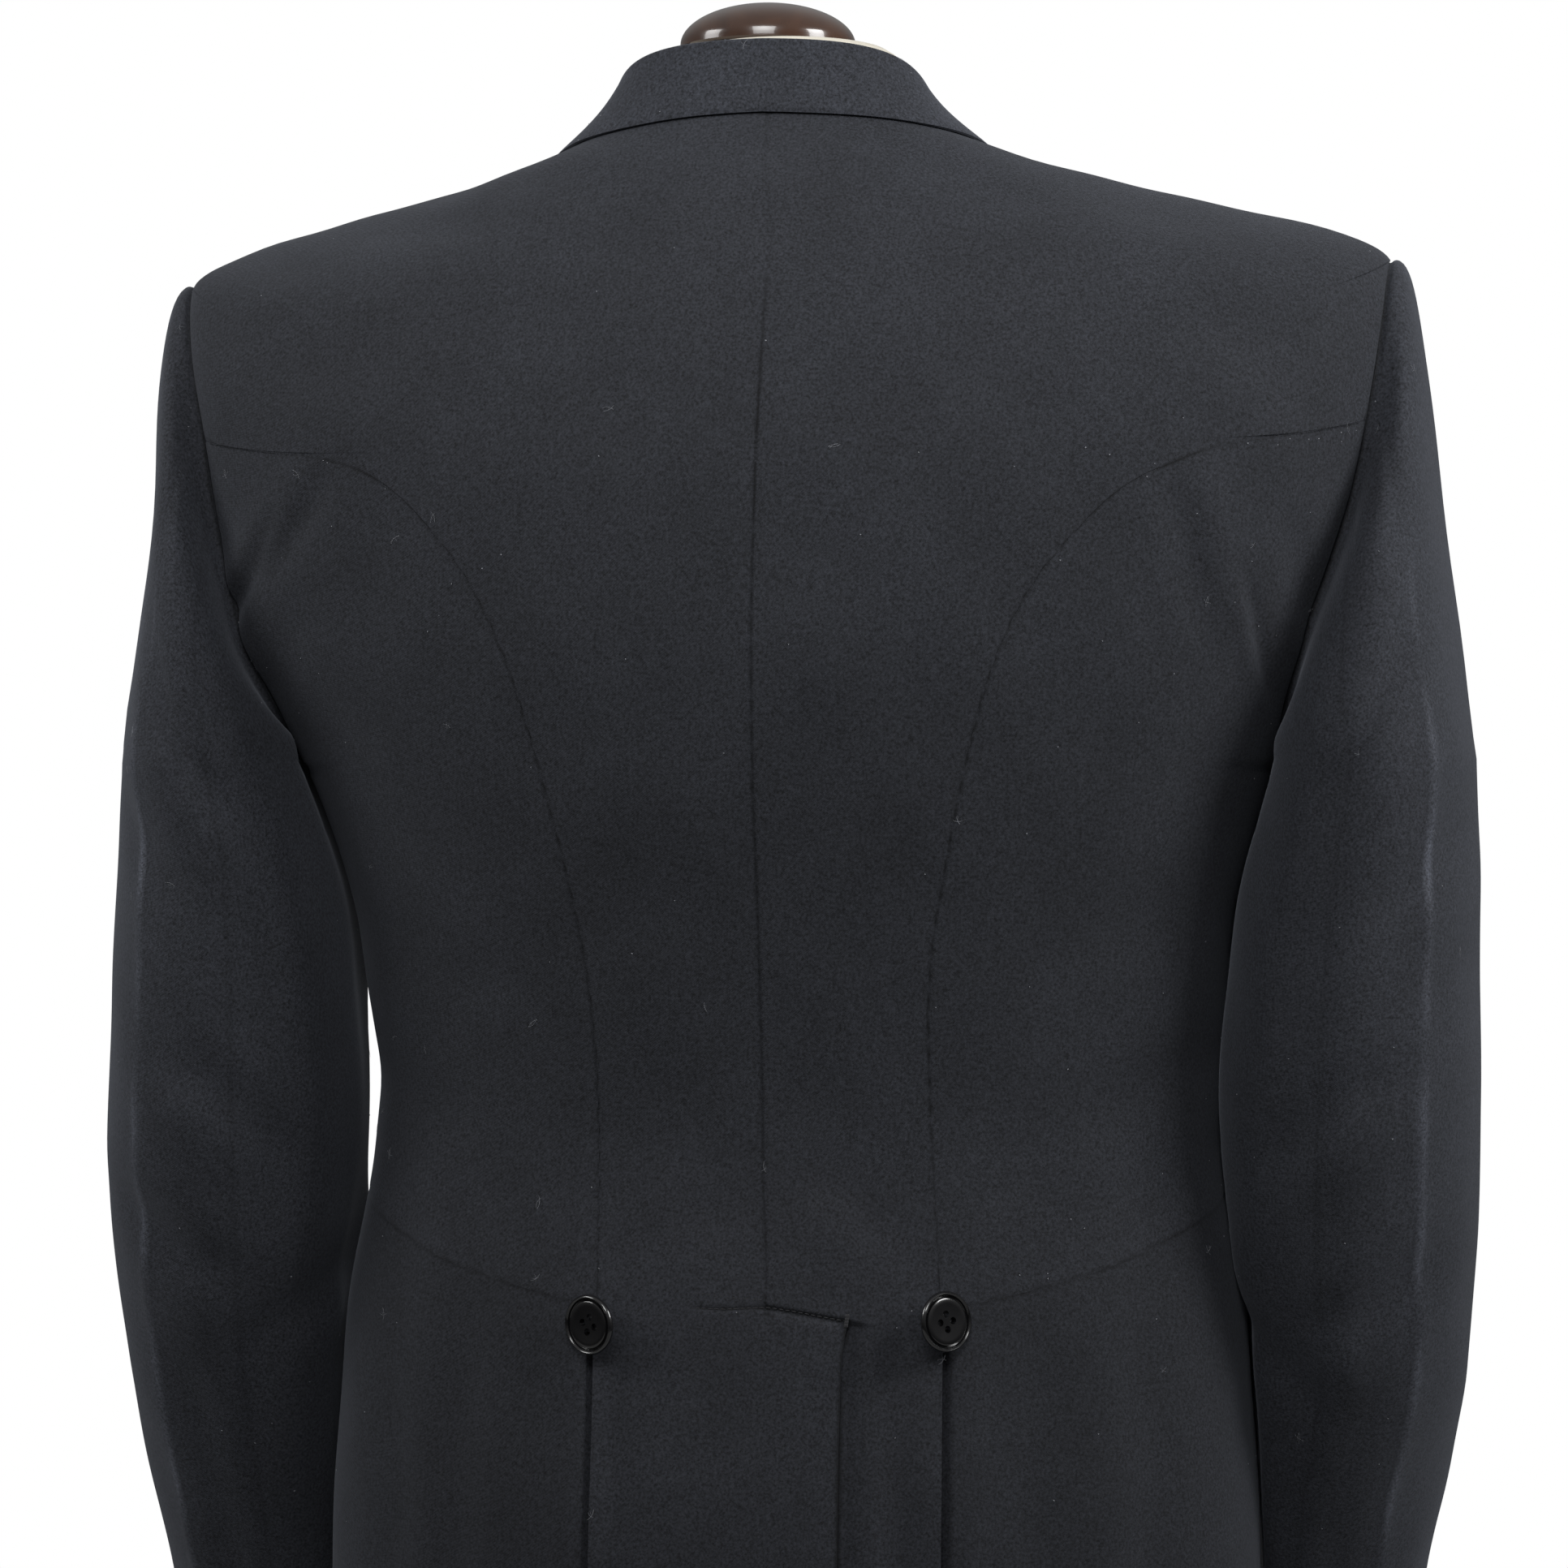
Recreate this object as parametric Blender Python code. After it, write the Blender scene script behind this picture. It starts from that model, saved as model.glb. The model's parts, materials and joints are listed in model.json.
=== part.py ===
"""A white tie tailcoat on a limbless dress form with a pole and a round foot.

Metres, +Z up, floor at z = 0. The back of the coat faces +Y and the wearer's left is +X.
The coat is cut as a tailor cuts it: backs, side bodies, foreparts, skirts, two-piece
sleeves, a turned collar and peaked lapels. Every cloth piece is a thin wall on one shared
coat surface, which is named by two numbers: the angle round the body (0 at the centre of
the back, 180 degrees at the centre of the front) and the level, which is the height up to
the chest and then runs on over the shoulders to the neck.
"""
import math

import bmesh
import bpy
import numpy as np

# Cloth and seams
WALL = 0.002
SEAM = 0.0003
LAYER = WALL + SEAM
SQUARENESS = 2.4

# Levels of the cut
HEM = 0.49
VENT_TOP = 1.034
VENT_LAP = 0.027
VENT_UNDERLAP = 0.018
WAIST = 1.034
ARMPIT = 1.237
SHOULDER_TIP = 1.4315
NECK = 1.58
ARM_ANGLE = 92.0
PLEAT_X = 0.0655
PLEAT_TUCK = 0.018
PLEAT_STEP = 0.0035
PLEAT_EASE = 0.0006

# Rings of the coat surface: one row for each level, sizes in metres.
# level, half width, back y, side y, front y, then the heights at the back, the back
# corner, the side, the front corner and the front.
RING_COLUMNS = (
    "level", "half_width", "y_back", "y_side", "y_front",
    "z_back", "z_back_corner", "z_side", "z_front_corner", "z_front",
)
RINGS = np.array([
    (0.490, 0.186, 0.124, 0.000, -0.118, 0.490, 0.490, 0.490, 0.490, 0.490),
    (0.700, 0.186, 0.125, 0.000, -0.120, 0.700, 0.700, 0.700, 0.700, 0.700),
    (0.930, 0.1835, 0.122, 0.000, -0.120, 0.930, 0.930, 0.930, 0.930, 0.930),
    (1.020, 0.1785, 0.110, 0.000, -0.116, 1.020, 1.020, 1.020, 1.020, 1.020),
    (1.100, 0.1690, 0.098, 0.000, -0.112, 1.100, 1.100, 1.100, 1.100, 1.100),
    (1.170, 0.1730, 0.106, 0.000, -0.120, 1.170, 1.170, 1.170, 1.170, 1.170),
    (1.237, 0.1920, 0.119, 0.000, -0.128, 1.237, 1.237, 1.237, 1.237, 1.237),
    (1.290, 0.2130, 0.1250, 0.002, -0.128, 1.290, 1.290, 1.290, 1.290, 1.290),
    (1.340, 0.2300, 0.1240, 0.004, -0.122, 1.340, 1.339, 1.345, 1.336, 1.334),
    (1.390, 0.2385, 0.1165, 0.008, -0.110, 1.388, 1.382, 1.406, 1.372, 1.366),
    (1.430, 0.2350, 0.1050, 0.010, -0.098, 1.424, 1.412, 1.4315, 1.398, 1.388),
    (1.500, 0.1600, 0.0850, 0.012, -0.088, 1.462, 1.450, 1.4585, 1.430, 1.402),
    (1.580, 0.0740, 0.0620, 0.012, -0.075, 1.492, 1.488, 1.4780, 1.452, 1.415),
])

# Levels at which the body pieces have a row of points
TAIL_LEVELS = (0.49, 0.60, 0.71, 0.82, 0.91, 0.975, 1.012, 1.024)
BODY_LEVELS = (
    1.065, 1.100, 1.140, 1.180, 1.210, 1.237, 1.2400, 1.248, 1.262, 1.285,
    1.310, 1.332, 1.347, 1.357, 1.362, 1.382, 1.402, 1.419, 1.428, 1.4315,
    1.450, 1.480, 1.515, 1.550, 1.580,
)

# Seam between back and side body: level and distance from the centre of the back
SIDE_SEAM = (
    (1.034, 0.0650), (1.100, 0.0630), (1.130, 0.0625), (1.160, 0.0645), (1.197, 0.0710),
    (1.243, 0.0820), (1.2765, 0.0925), (1.3065, 0.1070), (1.329, 0.1250), (1.344, 0.1430),
    (1.354, 0.1680), (1.3585, 0.1920), (1.362, 0.2180),
)
SIDE_SEAM_TOP = 1.362

# Waist seam: angle round the body and level, then the free edge of the forepart
WAIST_SEAM = ((20.0, 1.034), (40.0, 1.047), (62.0, 1.063), (92.0, 1.074), (126.0, 1.066), (160.0, 1.040))
SKIRT_FRONT = ((0.0, 0.0), (0.12, 12.0), (0.35, 36.0), (0.70, 56.0), (1.0, 67.0))
SIDE_COLUMNS = 7
FOREPART_COLUMNS = 10
CUTAWAY_COLUMN = 5

# Front edge and roll line: level and distance from the centre of the front
FRONT_EDGE = (
    (1.034, 0.074), (1.100, 0.064), (1.180, 0.062), (1.290, 0.064), (1.390, 0.068),
    (1.450, 0.0705), (1.500, 0.072), (1.550, 0.0725), (1.580, 0.0715),
)
ROLL_BOTTOM = 1.105
GORGE = 1.505
LAPEL_EASE = 0.0010

# Collar, along its line from the centre of the back: share of the way, height of the
# stand, its lean from the surface normal in degrees, and reach of the fall past the seam
COLLAR = (
    (0.00, 0.0225, 56.0, 0.0050), (0.35, 0.0225, 54.0, 0.0080), (0.60, 0.0215, 44.0, 0.0150),
    (0.78, 0.0140, 38.0, 0.0230), (0.90, 0.0080, 36.0, 0.0300), (1.00, 0.0050, 34.0, 0.0330),
)
COLLAR_STEPS = 22

# Sleeve rings below the head: height, centre x, centre y, half width, half depth, tilt
SLEEVE = (
    (1.240, 0.2260, 0.010, 0.0420, 0.0800, 0.0),
    (1.180, 0.2220, 0.008, 0.0485, 0.0770, 0.0),
    (1.110, 0.2205, 0.004, 0.0525, 0.0745, 0.0),
    (1.060, 0.2210, -0.004, 0.0520, 0.0720, 4.0),
    (1.000, 0.2210, -0.018, 0.0480, 0.0670, 8.0),
    (0.930, 0.2155, -0.040, 0.0440, 0.0610, 13.0),
    (0.870, 0.2115, -0.060, 0.0405, 0.0560, 16.0),
    (0.825, 0.2095, -0.074, 0.0385, 0.0540, 16.0),
)
HEAD_SHARES = (0.06, 0.16, 0.30, 0.50, 0.75)
BODY_CLEARANCE = 0.0032

# Dress form
FORM_BOTTOM = 0.875
FORM_PLATE_X = 0.200
FORM_LEVELS = (0.90, 0.96, 1.03, 1.10, 1.17, 1.237, 1.29, 1.34, 1.385, 1.42, 1.445, 1.475, 1.51, 1.540, 1.560)
NECK_CENTRE_Y = 0.000
NECK_RINGS = ((1.465, 0.0595), (1.485, 0.0545), (1.506, 0.0515), (1.5155, 0.0465), (1.5215, 0.0390))
CAP_X = 0.004
CAP_RADIUS = 0.0385
CAP_BASE = 1.5222
CAP_HEIGHT = 0.0185
POLE_RADIUS = 0.016
BASE_RADIUS = 0.190
BASE_HEIGHT = 0.030

# Buttons
HIP_BUTTON = 0.0110
FRONT_BUTTON = 0.0090
HIP_BUTTON_LEVEL = 1.030
FRONT_BUTTONS = ((1.150, 0.082), (1.110, 0.088), (1.070, 0.096))


def clear_scene():
    """remove whatever objects the file opens with"""
    for item in list(bpy.data.objects):
        bpy.data.objects.remove(item, do_unlink=True)


def finish(name, colour, roughness, metallic=0.0):
    """a plain Principled material"""
    material = bpy.data.materials.new(name)
    material.use_nodes = True
    shader = material.node_tree.nodes["Principled BSDF"]
    shader.inputs["Base Color"].default_value = (*colour, 1.0)
    shader.inputs["Roughness"].default_value = roughness
    shader.inputs["Metallic"].default_value = metallic
    return material


def smooth(table, where, column=1):
    """read a table's column between its rows, on a curve that never overshoots"""
    rows = np.asarray(table, dtype=float)
    keys = rows[:, 0]
    values = rows[:, column]
    steps = np.diff(keys)
    slopes = np.diff(values) / steps
    tangents = np.zeros(len(keys))
    tangents[0] = slopes[0]
    tangents[-1] = slopes[-1]
    for k in range(1, len(keys) - 1):
        if slopes[k - 1] * slopes[k] > 0.0:
            before = 2.0 * steps[k] + steps[k - 1]
            after = steps[k] + 2.0 * steps[k - 1]
            tangents[k] = (before + after) / (before / slopes[k - 1] + after / slopes[k])
    at = np.clip(np.asarray(where, dtype=float), keys[0], keys[-1])
    k = np.clip(np.searchsorted(keys, at, side="right") - 1, 0, len(keys) - 2)
    h = steps[k]
    t = (at - keys[k]) / h
    return (
        (2 * t**3 - 3 * t**2 + 1) * values[k]
        + (t**3 - 2 * t**2 + t) * h * tangents[k]
        + (3 * t**2 - 2 * t**3) * values[k + 1]
        + (t**3 - t**2) * h * tangents[k + 1]
    )


def ring_column(name, level):
    return smooth(RINGS, level, RING_COLUMNS.index(name))


HEIGHT_ANGLES = np.radians([0.0, 45.0, 90.0, 135.0, 180.0])
HEIGHT_WAVES = np.linalg.inv(np.cos(np.outer(HEIGHT_ANGLES, np.arange(5))))


def roundness(angle):
    """how far a squared-off ring stands out from a plain ellipse at this angle"""
    s = np.abs(np.sin(angle)) ** SQUARENESS
    c = np.abs(np.cos(angle)) ** SQUARENESS
    return (s + c) ** (-1.0 / SQUARENESS)


def coat_point(angle, level):
    """the coat surface: angle in radians and level to a point"""
    angle = np.asarray(angle, dtype=float)
    level = np.asarray(level, dtype=float)
    g = roundness(angle)
    side = ring_column("y_side", level)
    back = ring_column("y_back", level) - side
    front = side - ring_column("y_front", level)
    x = ring_column("half_width", level) * np.sin(angle) * g
    y = side + np.where(np.cos(angle) > 0.0, back, front) * np.cos(angle) * g
    heights = [ring_column(name, level) for name in RING_COLUMNS[5:]]
    z = np.zeros_like(x)
    for wave in range(5):
        share = sum(HEIGHT_WAVES[wave, k] * heights[k] for k in range(5))
        z = z + share * np.cos(wave * angle)
    return np.stack([x, y, z], axis=-1)


def coat_normal(angle, level):
    """unit normal of the coat surface, pointing out of the body"""
    step_a = 1e-3
    step_l = 5e-4
    round_it = coat_point(angle + step_a, level) - coat_point(angle - step_a, level)
    up_it = coat_point(angle, level + step_l) - coat_point(angle, level - step_l)
    normal = np.cross(up_it, round_it)
    return normal / np.linalg.norm(normal, axis=-1, keepdims=True)


ANGLE_STEPS = np.linspace(0.0, math.pi / 2, 721)
WIDTH_STEPS = np.sin(ANGLE_STEPS) * roundness(ANGLE_STEPS)


def back_angle(x, level):
    """angle of the point of the back that lies x from the centre"""
    share = np.clip(x / ring_column("half_width", level), -0.999, 0.999)
    return np.sign(share) * np.interp(np.abs(share), WIDTH_STEPS, ANGLE_STEPS)


def front_angle(x, level):
    return math.pi - back_angle(x, level)


def side_seam_angle(level):
    return back_angle(smooth(SIDE_SEAM, level), level)


def underarm_angle(level):
    """the seam under the arm leans back towards the waist"""
    drop = np.clip((ARMPIT - level) / (ARMPIT - WAIST), 0.0, 1.0)
    return np.radians(ARM_ANGLE - 8.0 * drop)


def armhole_angle(level, towards):
    """edge of the armhole at this level: towards is -1 at the back and 1 at the front"""
    middle = (ARMPIT + SHOULDER_TIP) / 2
    share = np.clip((level - middle) / (SHOULDER_TIP - middle), -1.0, 1.0)
    power = 3.2
    reach = (25.5 - 2.5 * share) * (1.0 - np.abs(share) ** power) ** (1.0 / power)
    return np.radians(ARM_ANGLE + towards * reach)


def waist_seam(angle):
    return smooth(WAIST_SEAM, np.degrees(angle))


def roll_angle(level):
    return front_angle(smooth(FRONT_EDGE, level), level)


def unit(vectors):
    return vectors / np.maximum(np.linalg.norm(vectors, axis=-1, keepdims=True), 1e-12)


def along(points):
    return unit(np.gradient(points, axis=0))


def inset(points, normals, sides, amount):
    """draw the named edges of a grid of points back into the piece"""
    moved = points.copy()
    edges = {
        "low": (points[:, 0], normals[:, 0], points[:, 1] - points[:, 0], (slice(None), 0)),
        "high": (points[:, -1], normals[:, -1], points[:, -2] - points[:, -1], (slice(None), -1)),
        "bottom": (points[0], normals[0], points[1] - points[0], (0, slice(None))),
        "top": (points[-1], normals[-1], points[-2] - points[-1], (-1, slice(None))),
    }
    for side in sides:
        line, normal, inward, where = edges[side]
        across = unit(np.cross(normal, along(line)))
        sign = np.sign(np.sum(across * inward, axis=-1, keepdims=True))
        moved[where] = moved[where] + across * sign * amount
    return moved


def new_object(name, mesh_builder, material):
    """turn a bmesh into an object with its own mesh and material"""
    bmesh.ops.remove_doubles(mesh_builder, verts=mesh_builder.verts, dist=1e-6)
    bmesh.ops.triangulate(mesh_builder, faces=mesh_builder.faces)
    bmesh.ops.recalc_face_normals(mesh_builder, faces=mesh_builder.faces)
    mesh = bpy.data.meshes.new(name)
    mesh_builder.to_mesh(mesh)
    mesh_builder.free()
    mesh.materials.append(material)
    item = bpy.data.objects.new(name, mesh)
    bpy.context.collection.objects.link(item)
    mesh.shade_smooth()
    mesh.set_sharp_from_angle(angle=math.radians(35.0))
    return item


def wall_object(name, outer, inner, material, mirrored=False, closed=False):
    """a cloth wall between two matching grids of points; closed joins the last column to the first"""
    builder = bmesh.new()
    rows, columns = outer.shape[:2]
    flip = np.array([-1.0 if mirrored else 1.0, 1.0, 1.0])
    skins = []
    for grid in (outer, inner):
        skins.append([[builder.verts.new(grid[r, c] * flip) for c in range(columns)] for r in range(rows)])
    spans = columns if closed else columns - 1
    for skin in skins:
        for r in range(rows - 1):
            for c in range(spans):
                d = (c + 1) % columns
                builder.faces.new((skin[r][c], skin[r + 1][c], skin[r + 1][d], skin[r][d]))
    out, in_ = skins
    for r in (0, rows - 1):
        for c in range(spans):
            d = (c + 1) % columns
            builder.faces.new((out[r][c], out[r][d], in_[r][d], in_[r][c]))
    if not closed:
        for c in (0, columns - 1):
            for r in range(rows - 1):
                builder.faces.new((out[r][c], out[r + 1][c], in_[r + 1][c], in_[r][c]))
    return new_object(name, builder, material)


def coat_panel(name, angle, level, seams, material, mirrored=False, depth=None):
    """a piece of the coat on the shared surface; depth moves points out along the normal"""
    points = coat_point(angle, level)
    normals = coat_normal(angle, level)
    if depth is not None:
        points = points + normals * depth[..., None]
    outer = inset(points, normals, seams, SEAM / 2)
    inner = outer - normals * WALL
    return wall_object(name, outer, inner, material, mirrored)


def back_rows():
    vent = (VENT_TOP - 0.0035, VENT_TOP - 0.0010, VENT_TOP - 0.0005, VENT_TOP)
    hidden_step = (VENT_TOP + 0.0030, VENT_TOP + 0.0085)
    return np.array(TAIL_LEVELS + vent + hidden_step + BODY_LEVELS)


def back_outer_edge(levels):
    """angle of the back piece's outer edge: pleat, side body seam, armhole, shoulder seam"""
    pleat = back_angle(PLEAT_X, levels)
    seam = side_seam_angle(levels)
    armhole = armhole_angle(levels, -1)
    shoulder = np.radians(ARM_ANGLE) * np.ones_like(levels)
    edge = np.where(levels < WAIST, pleat, seam)
    edge = np.where(levels > SIDE_SEAM_TOP + 1e-6, armhole, edge)
    edge = np.where(np.abs(levels - SIDE_SEAM_TOP) < 1e-6, armhole, edge)
    return np.where(levels >= SHOULDER_TIP, shoulder, edge)


def back_grid(overlap, overlap_top, stations):
    """angles of the back's points: stations are the columns' places below the waist"""
    levels = back_rows()
    high = back_outer_edge(levels)
    low = np.where(levels <= overlap_top, back_angle(-overlap, levels), 0.0)
    count = len(stations)
    even = np.linspace(0.0, 1.0, count)
    angle = np.zeros((len(levels), count))
    for r, level in enumerate(levels):
        tail = back_angle(np.array(stations, dtype=float), level)
        if level > overlap_top:
            tail[:3] = np.linspace(0.0, tail[3], 4)[:3]
        tail[0] = low[r]
        tail[-1] = high[r]
        spread = low[r] + (high[r] - low[r]) * even
        blend = np.clip((level - 1.045) / 0.05, 0.0, 1.0)
        angle[r] = tail * (1.0 - blend) + spread * blend
    return angle, np.repeat(levels[:, None], count, axis=1)


def make_backs(cloth):
    """two backs, each in one with its tail; the left tail laps over the right one below the vent"""
    step = 0.0015
    rest = (0.040, 0.048, 0.057, PLEAT_X)
    left_stations = (-VENT_LAP, -0.012, 0.004, 0.018, 0.030, *rest)
    angle, level = back_grid(VENT_LAP, VENT_TOP - 0.0005 + 1e-6, left_stations)
    coat_panel("back_left", angle, level, ("low", "high", "top"), cloth)
    right_stations = (-VENT_UNDERLAP, -0.004, 0.014, VENT_LAP + step, VENT_LAP + 3 * step, *rest)
    angle, level = back_grid(VENT_UNDERLAP, VENT_TOP - 0.0035 + 1e-6, right_stations)
    under = (level <= VENT_TOP + 0.0031) * 1.0
    columns = np.arange(len(right_stations))[None, :]
    depth = -LAYER * under * (columns <= 3)
    coat_panel("back_right", angle, level, ("low", "high", "top"), cloth, True, depth)


def draped_level(levels, angle):
    """bend the rows near the waist to the waist seam, which rises round the side"""
    share = np.clip((1.21 - levels) / (1.21 - WAIST), 0.0, 1.0)
    return levels + (waist_seam(angle) - WAIST) * share


def make_side_bodies(cloth):
    """side bodies, from the curved back seam to the seam under the arm"""
    rows = (WAIST,) + tuple(v for v in BODY_LEVELS if v < SIDE_SEAM_TOP)
    levels = np.array(rows)
    low = side_seam_angle(levels)
    high = np.where(levels > ARMPIT, armhole_angle(levels, -1), underarm_angle(levels))
    tip = 0.93
    meeting = float(armhole_angle(SIDE_SEAM_TOP, -1))
    low = np.append(low, low[-1] + (meeting - low[-1]) * tip)
    high = np.append(high, high[-1] + (meeting - high[-1]) * tip)
    levels = np.append(levels, levels[-1] + (SIDE_SEAM_TOP - levels[-1]) * tip)
    share = np.linspace(0.0, 1.0, SIDE_COLUMNS)
    angle = low[:, None] + (high - low)[:, None] * share[None, :]
    level = draped_level(np.repeat(levels[:, None], SIDE_COLUMNS, axis=1), angle)
    for name, mirrored in (("side_body_left", False), ("side_body_right", True)):
        coat_panel(name, angle, level, ("low", "high", "bottom", "top"), cloth, mirrored)


def make_foreparts(cloth):
    """foreparts, from the seam under the arm to the front edge and the roll of the lapel"""
    levels = np.array((WAIST,) + BODY_LEVELS)
    low = np.where(levels > ARMPIT, armhole_angle(levels, 1), underarm_angle(levels))
    low = np.where(levels >= SHOULDER_TIP, np.radians(ARM_ANGLE), low)
    high = roll_angle(levels)
    share = np.linspace(0.0, 1.0, FOREPART_COLUMNS)
    angle = low[:, None] + (high - low)[:, None] * share[None, :]
    level = draped_level(np.repeat(levels[:, None], FOREPART_COLUMNS, axis=1), angle)
    for name, mirrored in (("forepart_left", False), ("forepart_right", True)):
        coat_panel(name, angle, level, ("low", "bottom", "top"), cloth, mirrored)


def make_skirts(cloth):
    """skirts, hung from the waist seam, cut away in front and tucked under the back at the pleat"""
    rows = (0.0, 0.014, 0.030, 0.12, 0.24, 0.40, 0.56, 0.72, 0.86, 1.0)
    side = np.linspace(float(side_seam_angle(WAIST)), float(underarm_angle(WAIST)), SIDE_COLUMNS)
    fore = np.linspace(float(underarm_angle(WAIST)), float(roll_angle(WAIST)), FOREPART_COLUMNS)
    pleat_top = float(back_angle(PLEAT_X + PLEAT_STEP, WAIST))
    top = np.concatenate([[pleat_top], side[1:], fore[1:CUTAWAY_COLUMN + 1]])
    top_level = waist_seam(top)
    share = (top - top[0]) / (top[-1] - top[0])
    angle = np.zeros((len(rows), len(share) + 2))
    level = np.zeros_like(angle)
    depth = np.zeros_like(angle)
    for r, drop in enumerate(rows):
        height = top_level * (1.0 - drop) + HEM * drop
        pleat = float(back_angle(PLEAT_X + PLEAT_STEP, height[0]))
        front = top[-1] - math.radians(float(smooth(SKIRT_FRONT, drop)))
        angle[r, 2:] = pleat + (front - pleat) * share
        level[r, 2:] = height
        tuck = PLEAT_TUCK if drop > rows[1] else 0.0
        angle[r, 0] = back_angle(PLEAT_X + SEAM - tuck, height[0])
        angle[r, 1] = back_angle(PLEAT_X + SEAM * 2, height[0])
        level[r, :2] = height[0] if r > 0 else WAIST - SEAM / 2
        depth[r, :2] = -(LAYER + PLEAT_EASE) if r > 0 else 0.0
    for name, mirrored in (("skirt_left", False), ("skirt_right", True)):
        coat_panel(name, angle[::-1], level[::-1], ("top",), cloth, mirrored, depth[::-1])


def body_half_width(y, z):
    """x of the coat's side at this depth and height, below the shoulders"""
    side = ring_column("y_side", z)
    back = ring_column("y_back", z) - side
    front = side - ring_column("y_front", z)
    reach = np.where(y > side, back, front)
    share = np.clip(np.abs(y - side) / reach, 0.0, 1.0) ** SQUARENESS
    return ring_column("half_width", z) * (1.0 - share) ** (1.0 / SQUARENESS)


def armhole_line():
    """points of the armhole from the shoulder tip, down the back, under the arm and up the front"""
    inner = [v for v in BODY_LEVELS if ARMPIT < v < SHOULDER_TIP]
    down = [(math.radians(ARM_ANGLE), SHOULDER_TIP)]
    down += [(float(armhole_angle(v, -1)), v) for v in reversed(inner)]
    down += [(math.radians(ARM_ANGLE), ARMPIT)]
    down += [(float(armhole_angle(v, 1)), v) for v in inner]
    return np.array(down)


def armhole_edge():
    """the armhole's points, their normals, and the directions out of the armhole's edge"""
    line = armhole_line()
    points = coat_point(line[:, 0], line[:, 1])
    normals = coat_normal(line[:, 0], line[:, 1])
    tangents = unit(np.roll(points, -1, axis=0) - np.roll(points, 1, axis=0))
    across = unit(np.cross(normals, tangents))
    centre = points.mean(axis=0)
    sign = np.sign(np.sum(across * (centre - points), axis=-1, keepdims=True))
    return points, normals, across * sign


def sleeve_ring(height, centre_x, centre_y, half_width, half_depth, tilt, turns):
    """one ring of the sleeve, tilted forward, kept clear of the coat's side"""
    x = centre_x + half_width * np.cos(turns)
    y = centre_y + half_depth * np.sin(turns)
    z = height + (y - centre_y) * math.tan(math.radians(tilt))
    clear = body_half_width(y, z) + BODY_CLEARANCE
    return np.stack([np.maximum(x, clear), y, z], axis=-1)


def sleeve_grid():
    """outer points of the left sleeve, ring by ring from the armhole to the cuff"""
    points, normals, across = armhole_edge()
    count = len(points)
    turns = 2.0 * math.pi * np.arange(count) / count
    first = points + across * SEAM
    rings = [sleeve_ring(*row, turns) for row in SLEEVE]
    top = (1.0 + np.cos(turns))[:, None] / 2.0
    start = first + np.array([1.0, 0.0, 0.0]) * (0.0045 + 0.0095 * top)
    start = start + np.array([0.0, 0.0, 1.0]) * 0.0060 * top**3
    rise = np.concatenate([-0.021 * top, 0.0 * top, 0.012 + 0.128 * top], axis=1)
    end = rings[0] + rise
    grid = [first]
    for t in HEAD_SHARES:
        bend = (
            first * (1 - t) ** 3
            + start * 3 * t * (1 - t) ** 2
            + end * 3 * t**2 * (1 - t)
            + rings[0] * t**3
        )
        grid.append(bend)
    return np.array(grid + rings), normals


def grid_normals(grid):
    """normals of a closed tube of rings, pointing out of it"""
    round_it = np.roll(grid, -1, axis=1) - np.roll(grid, 1, axis=1)
    down_it = np.gradient(grid, axis=0)
    return unit(np.cross(down_it, round_it))


def make_sleeves(cloth):
    """two-piece sleeves: a top sleeve and a narrower under sleeve facing the body"""
    grid, edge_normals = sleeve_grid()
    normals = grid_normals(grid)
    centre = grid.mean(axis=1, keepdims=True)
    facing = np.sign(np.sum(normals * (grid - centre), axis=(1, 2), keepdims=True))
    normals = normals * facing[-1]
    normals[0] = edge_normals
    normals[1] = unit(normals[1] + edge_normals)
    count = grid.shape[1]
    first = 8
    last = count - first
    under = np.arange(first, last + 1)
    over = np.arange(last, count + first + 1) % count
    for side, mirrored in (("left", False), ("right", True)):
        for part, columns in (("sleeve_under", under), ("sleeve_top", over)):
            points = grid[:, columns]
            facing_out = normals[:, columns]
            outer = inset(points, facing_out, ("low", "high"), SEAM / 2)
            inner = outer - facing_out * WALL
            wall_object(part + "_" + side, outer, inner, cloth, mirrored)


def collar_line(share):
    """the edge that the collar is sewn to: round the neck, then down the roll line"""
    share = np.asarray(share, dtype=float)
    corner = 0.62
    side_angle = float(roll_angle(NECK))
    angle = np.minimum(share / corner, 1.0) * side_angle
    level = NECK + (GORGE - NECK) * np.clip((share - corner) / (1.0 - corner), 0.0, 1.0)
    angle = np.where(share > corner, roll_angle(level), angle)
    return angle, level


def surface_walk(angle, level, direction, distance, steps=6):
    """walk over the coat surface from a point, in a direction, for a distance"""
    for _ in range(steps):
        d_angle = (coat_point(angle + 1e-3, level) - coat_point(angle - 1e-3, level)) / 2e-3
        d_level = (coat_point(angle, level + 5e-4) - coat_point(angle, level - 5e-4)) / 1e-3
        aa = np.sum(d_angle * d_angle, axis=-1)
        ll = np.sum(d_level * d_level, axis=-1)
        al = np.sum(d_angle * d_level, axis=-1)
        da = np.sum(direction * d_angle, axis=-1)
        dl = np.sum(direction * d_level, axis=-1)
        det = aa * ll - al * al
        angle = angle + distance / steps * (da * ll - dl * al) / det
        level = level + distance / steps * (dl * aa - da * al) / det
    return angle, level


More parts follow.
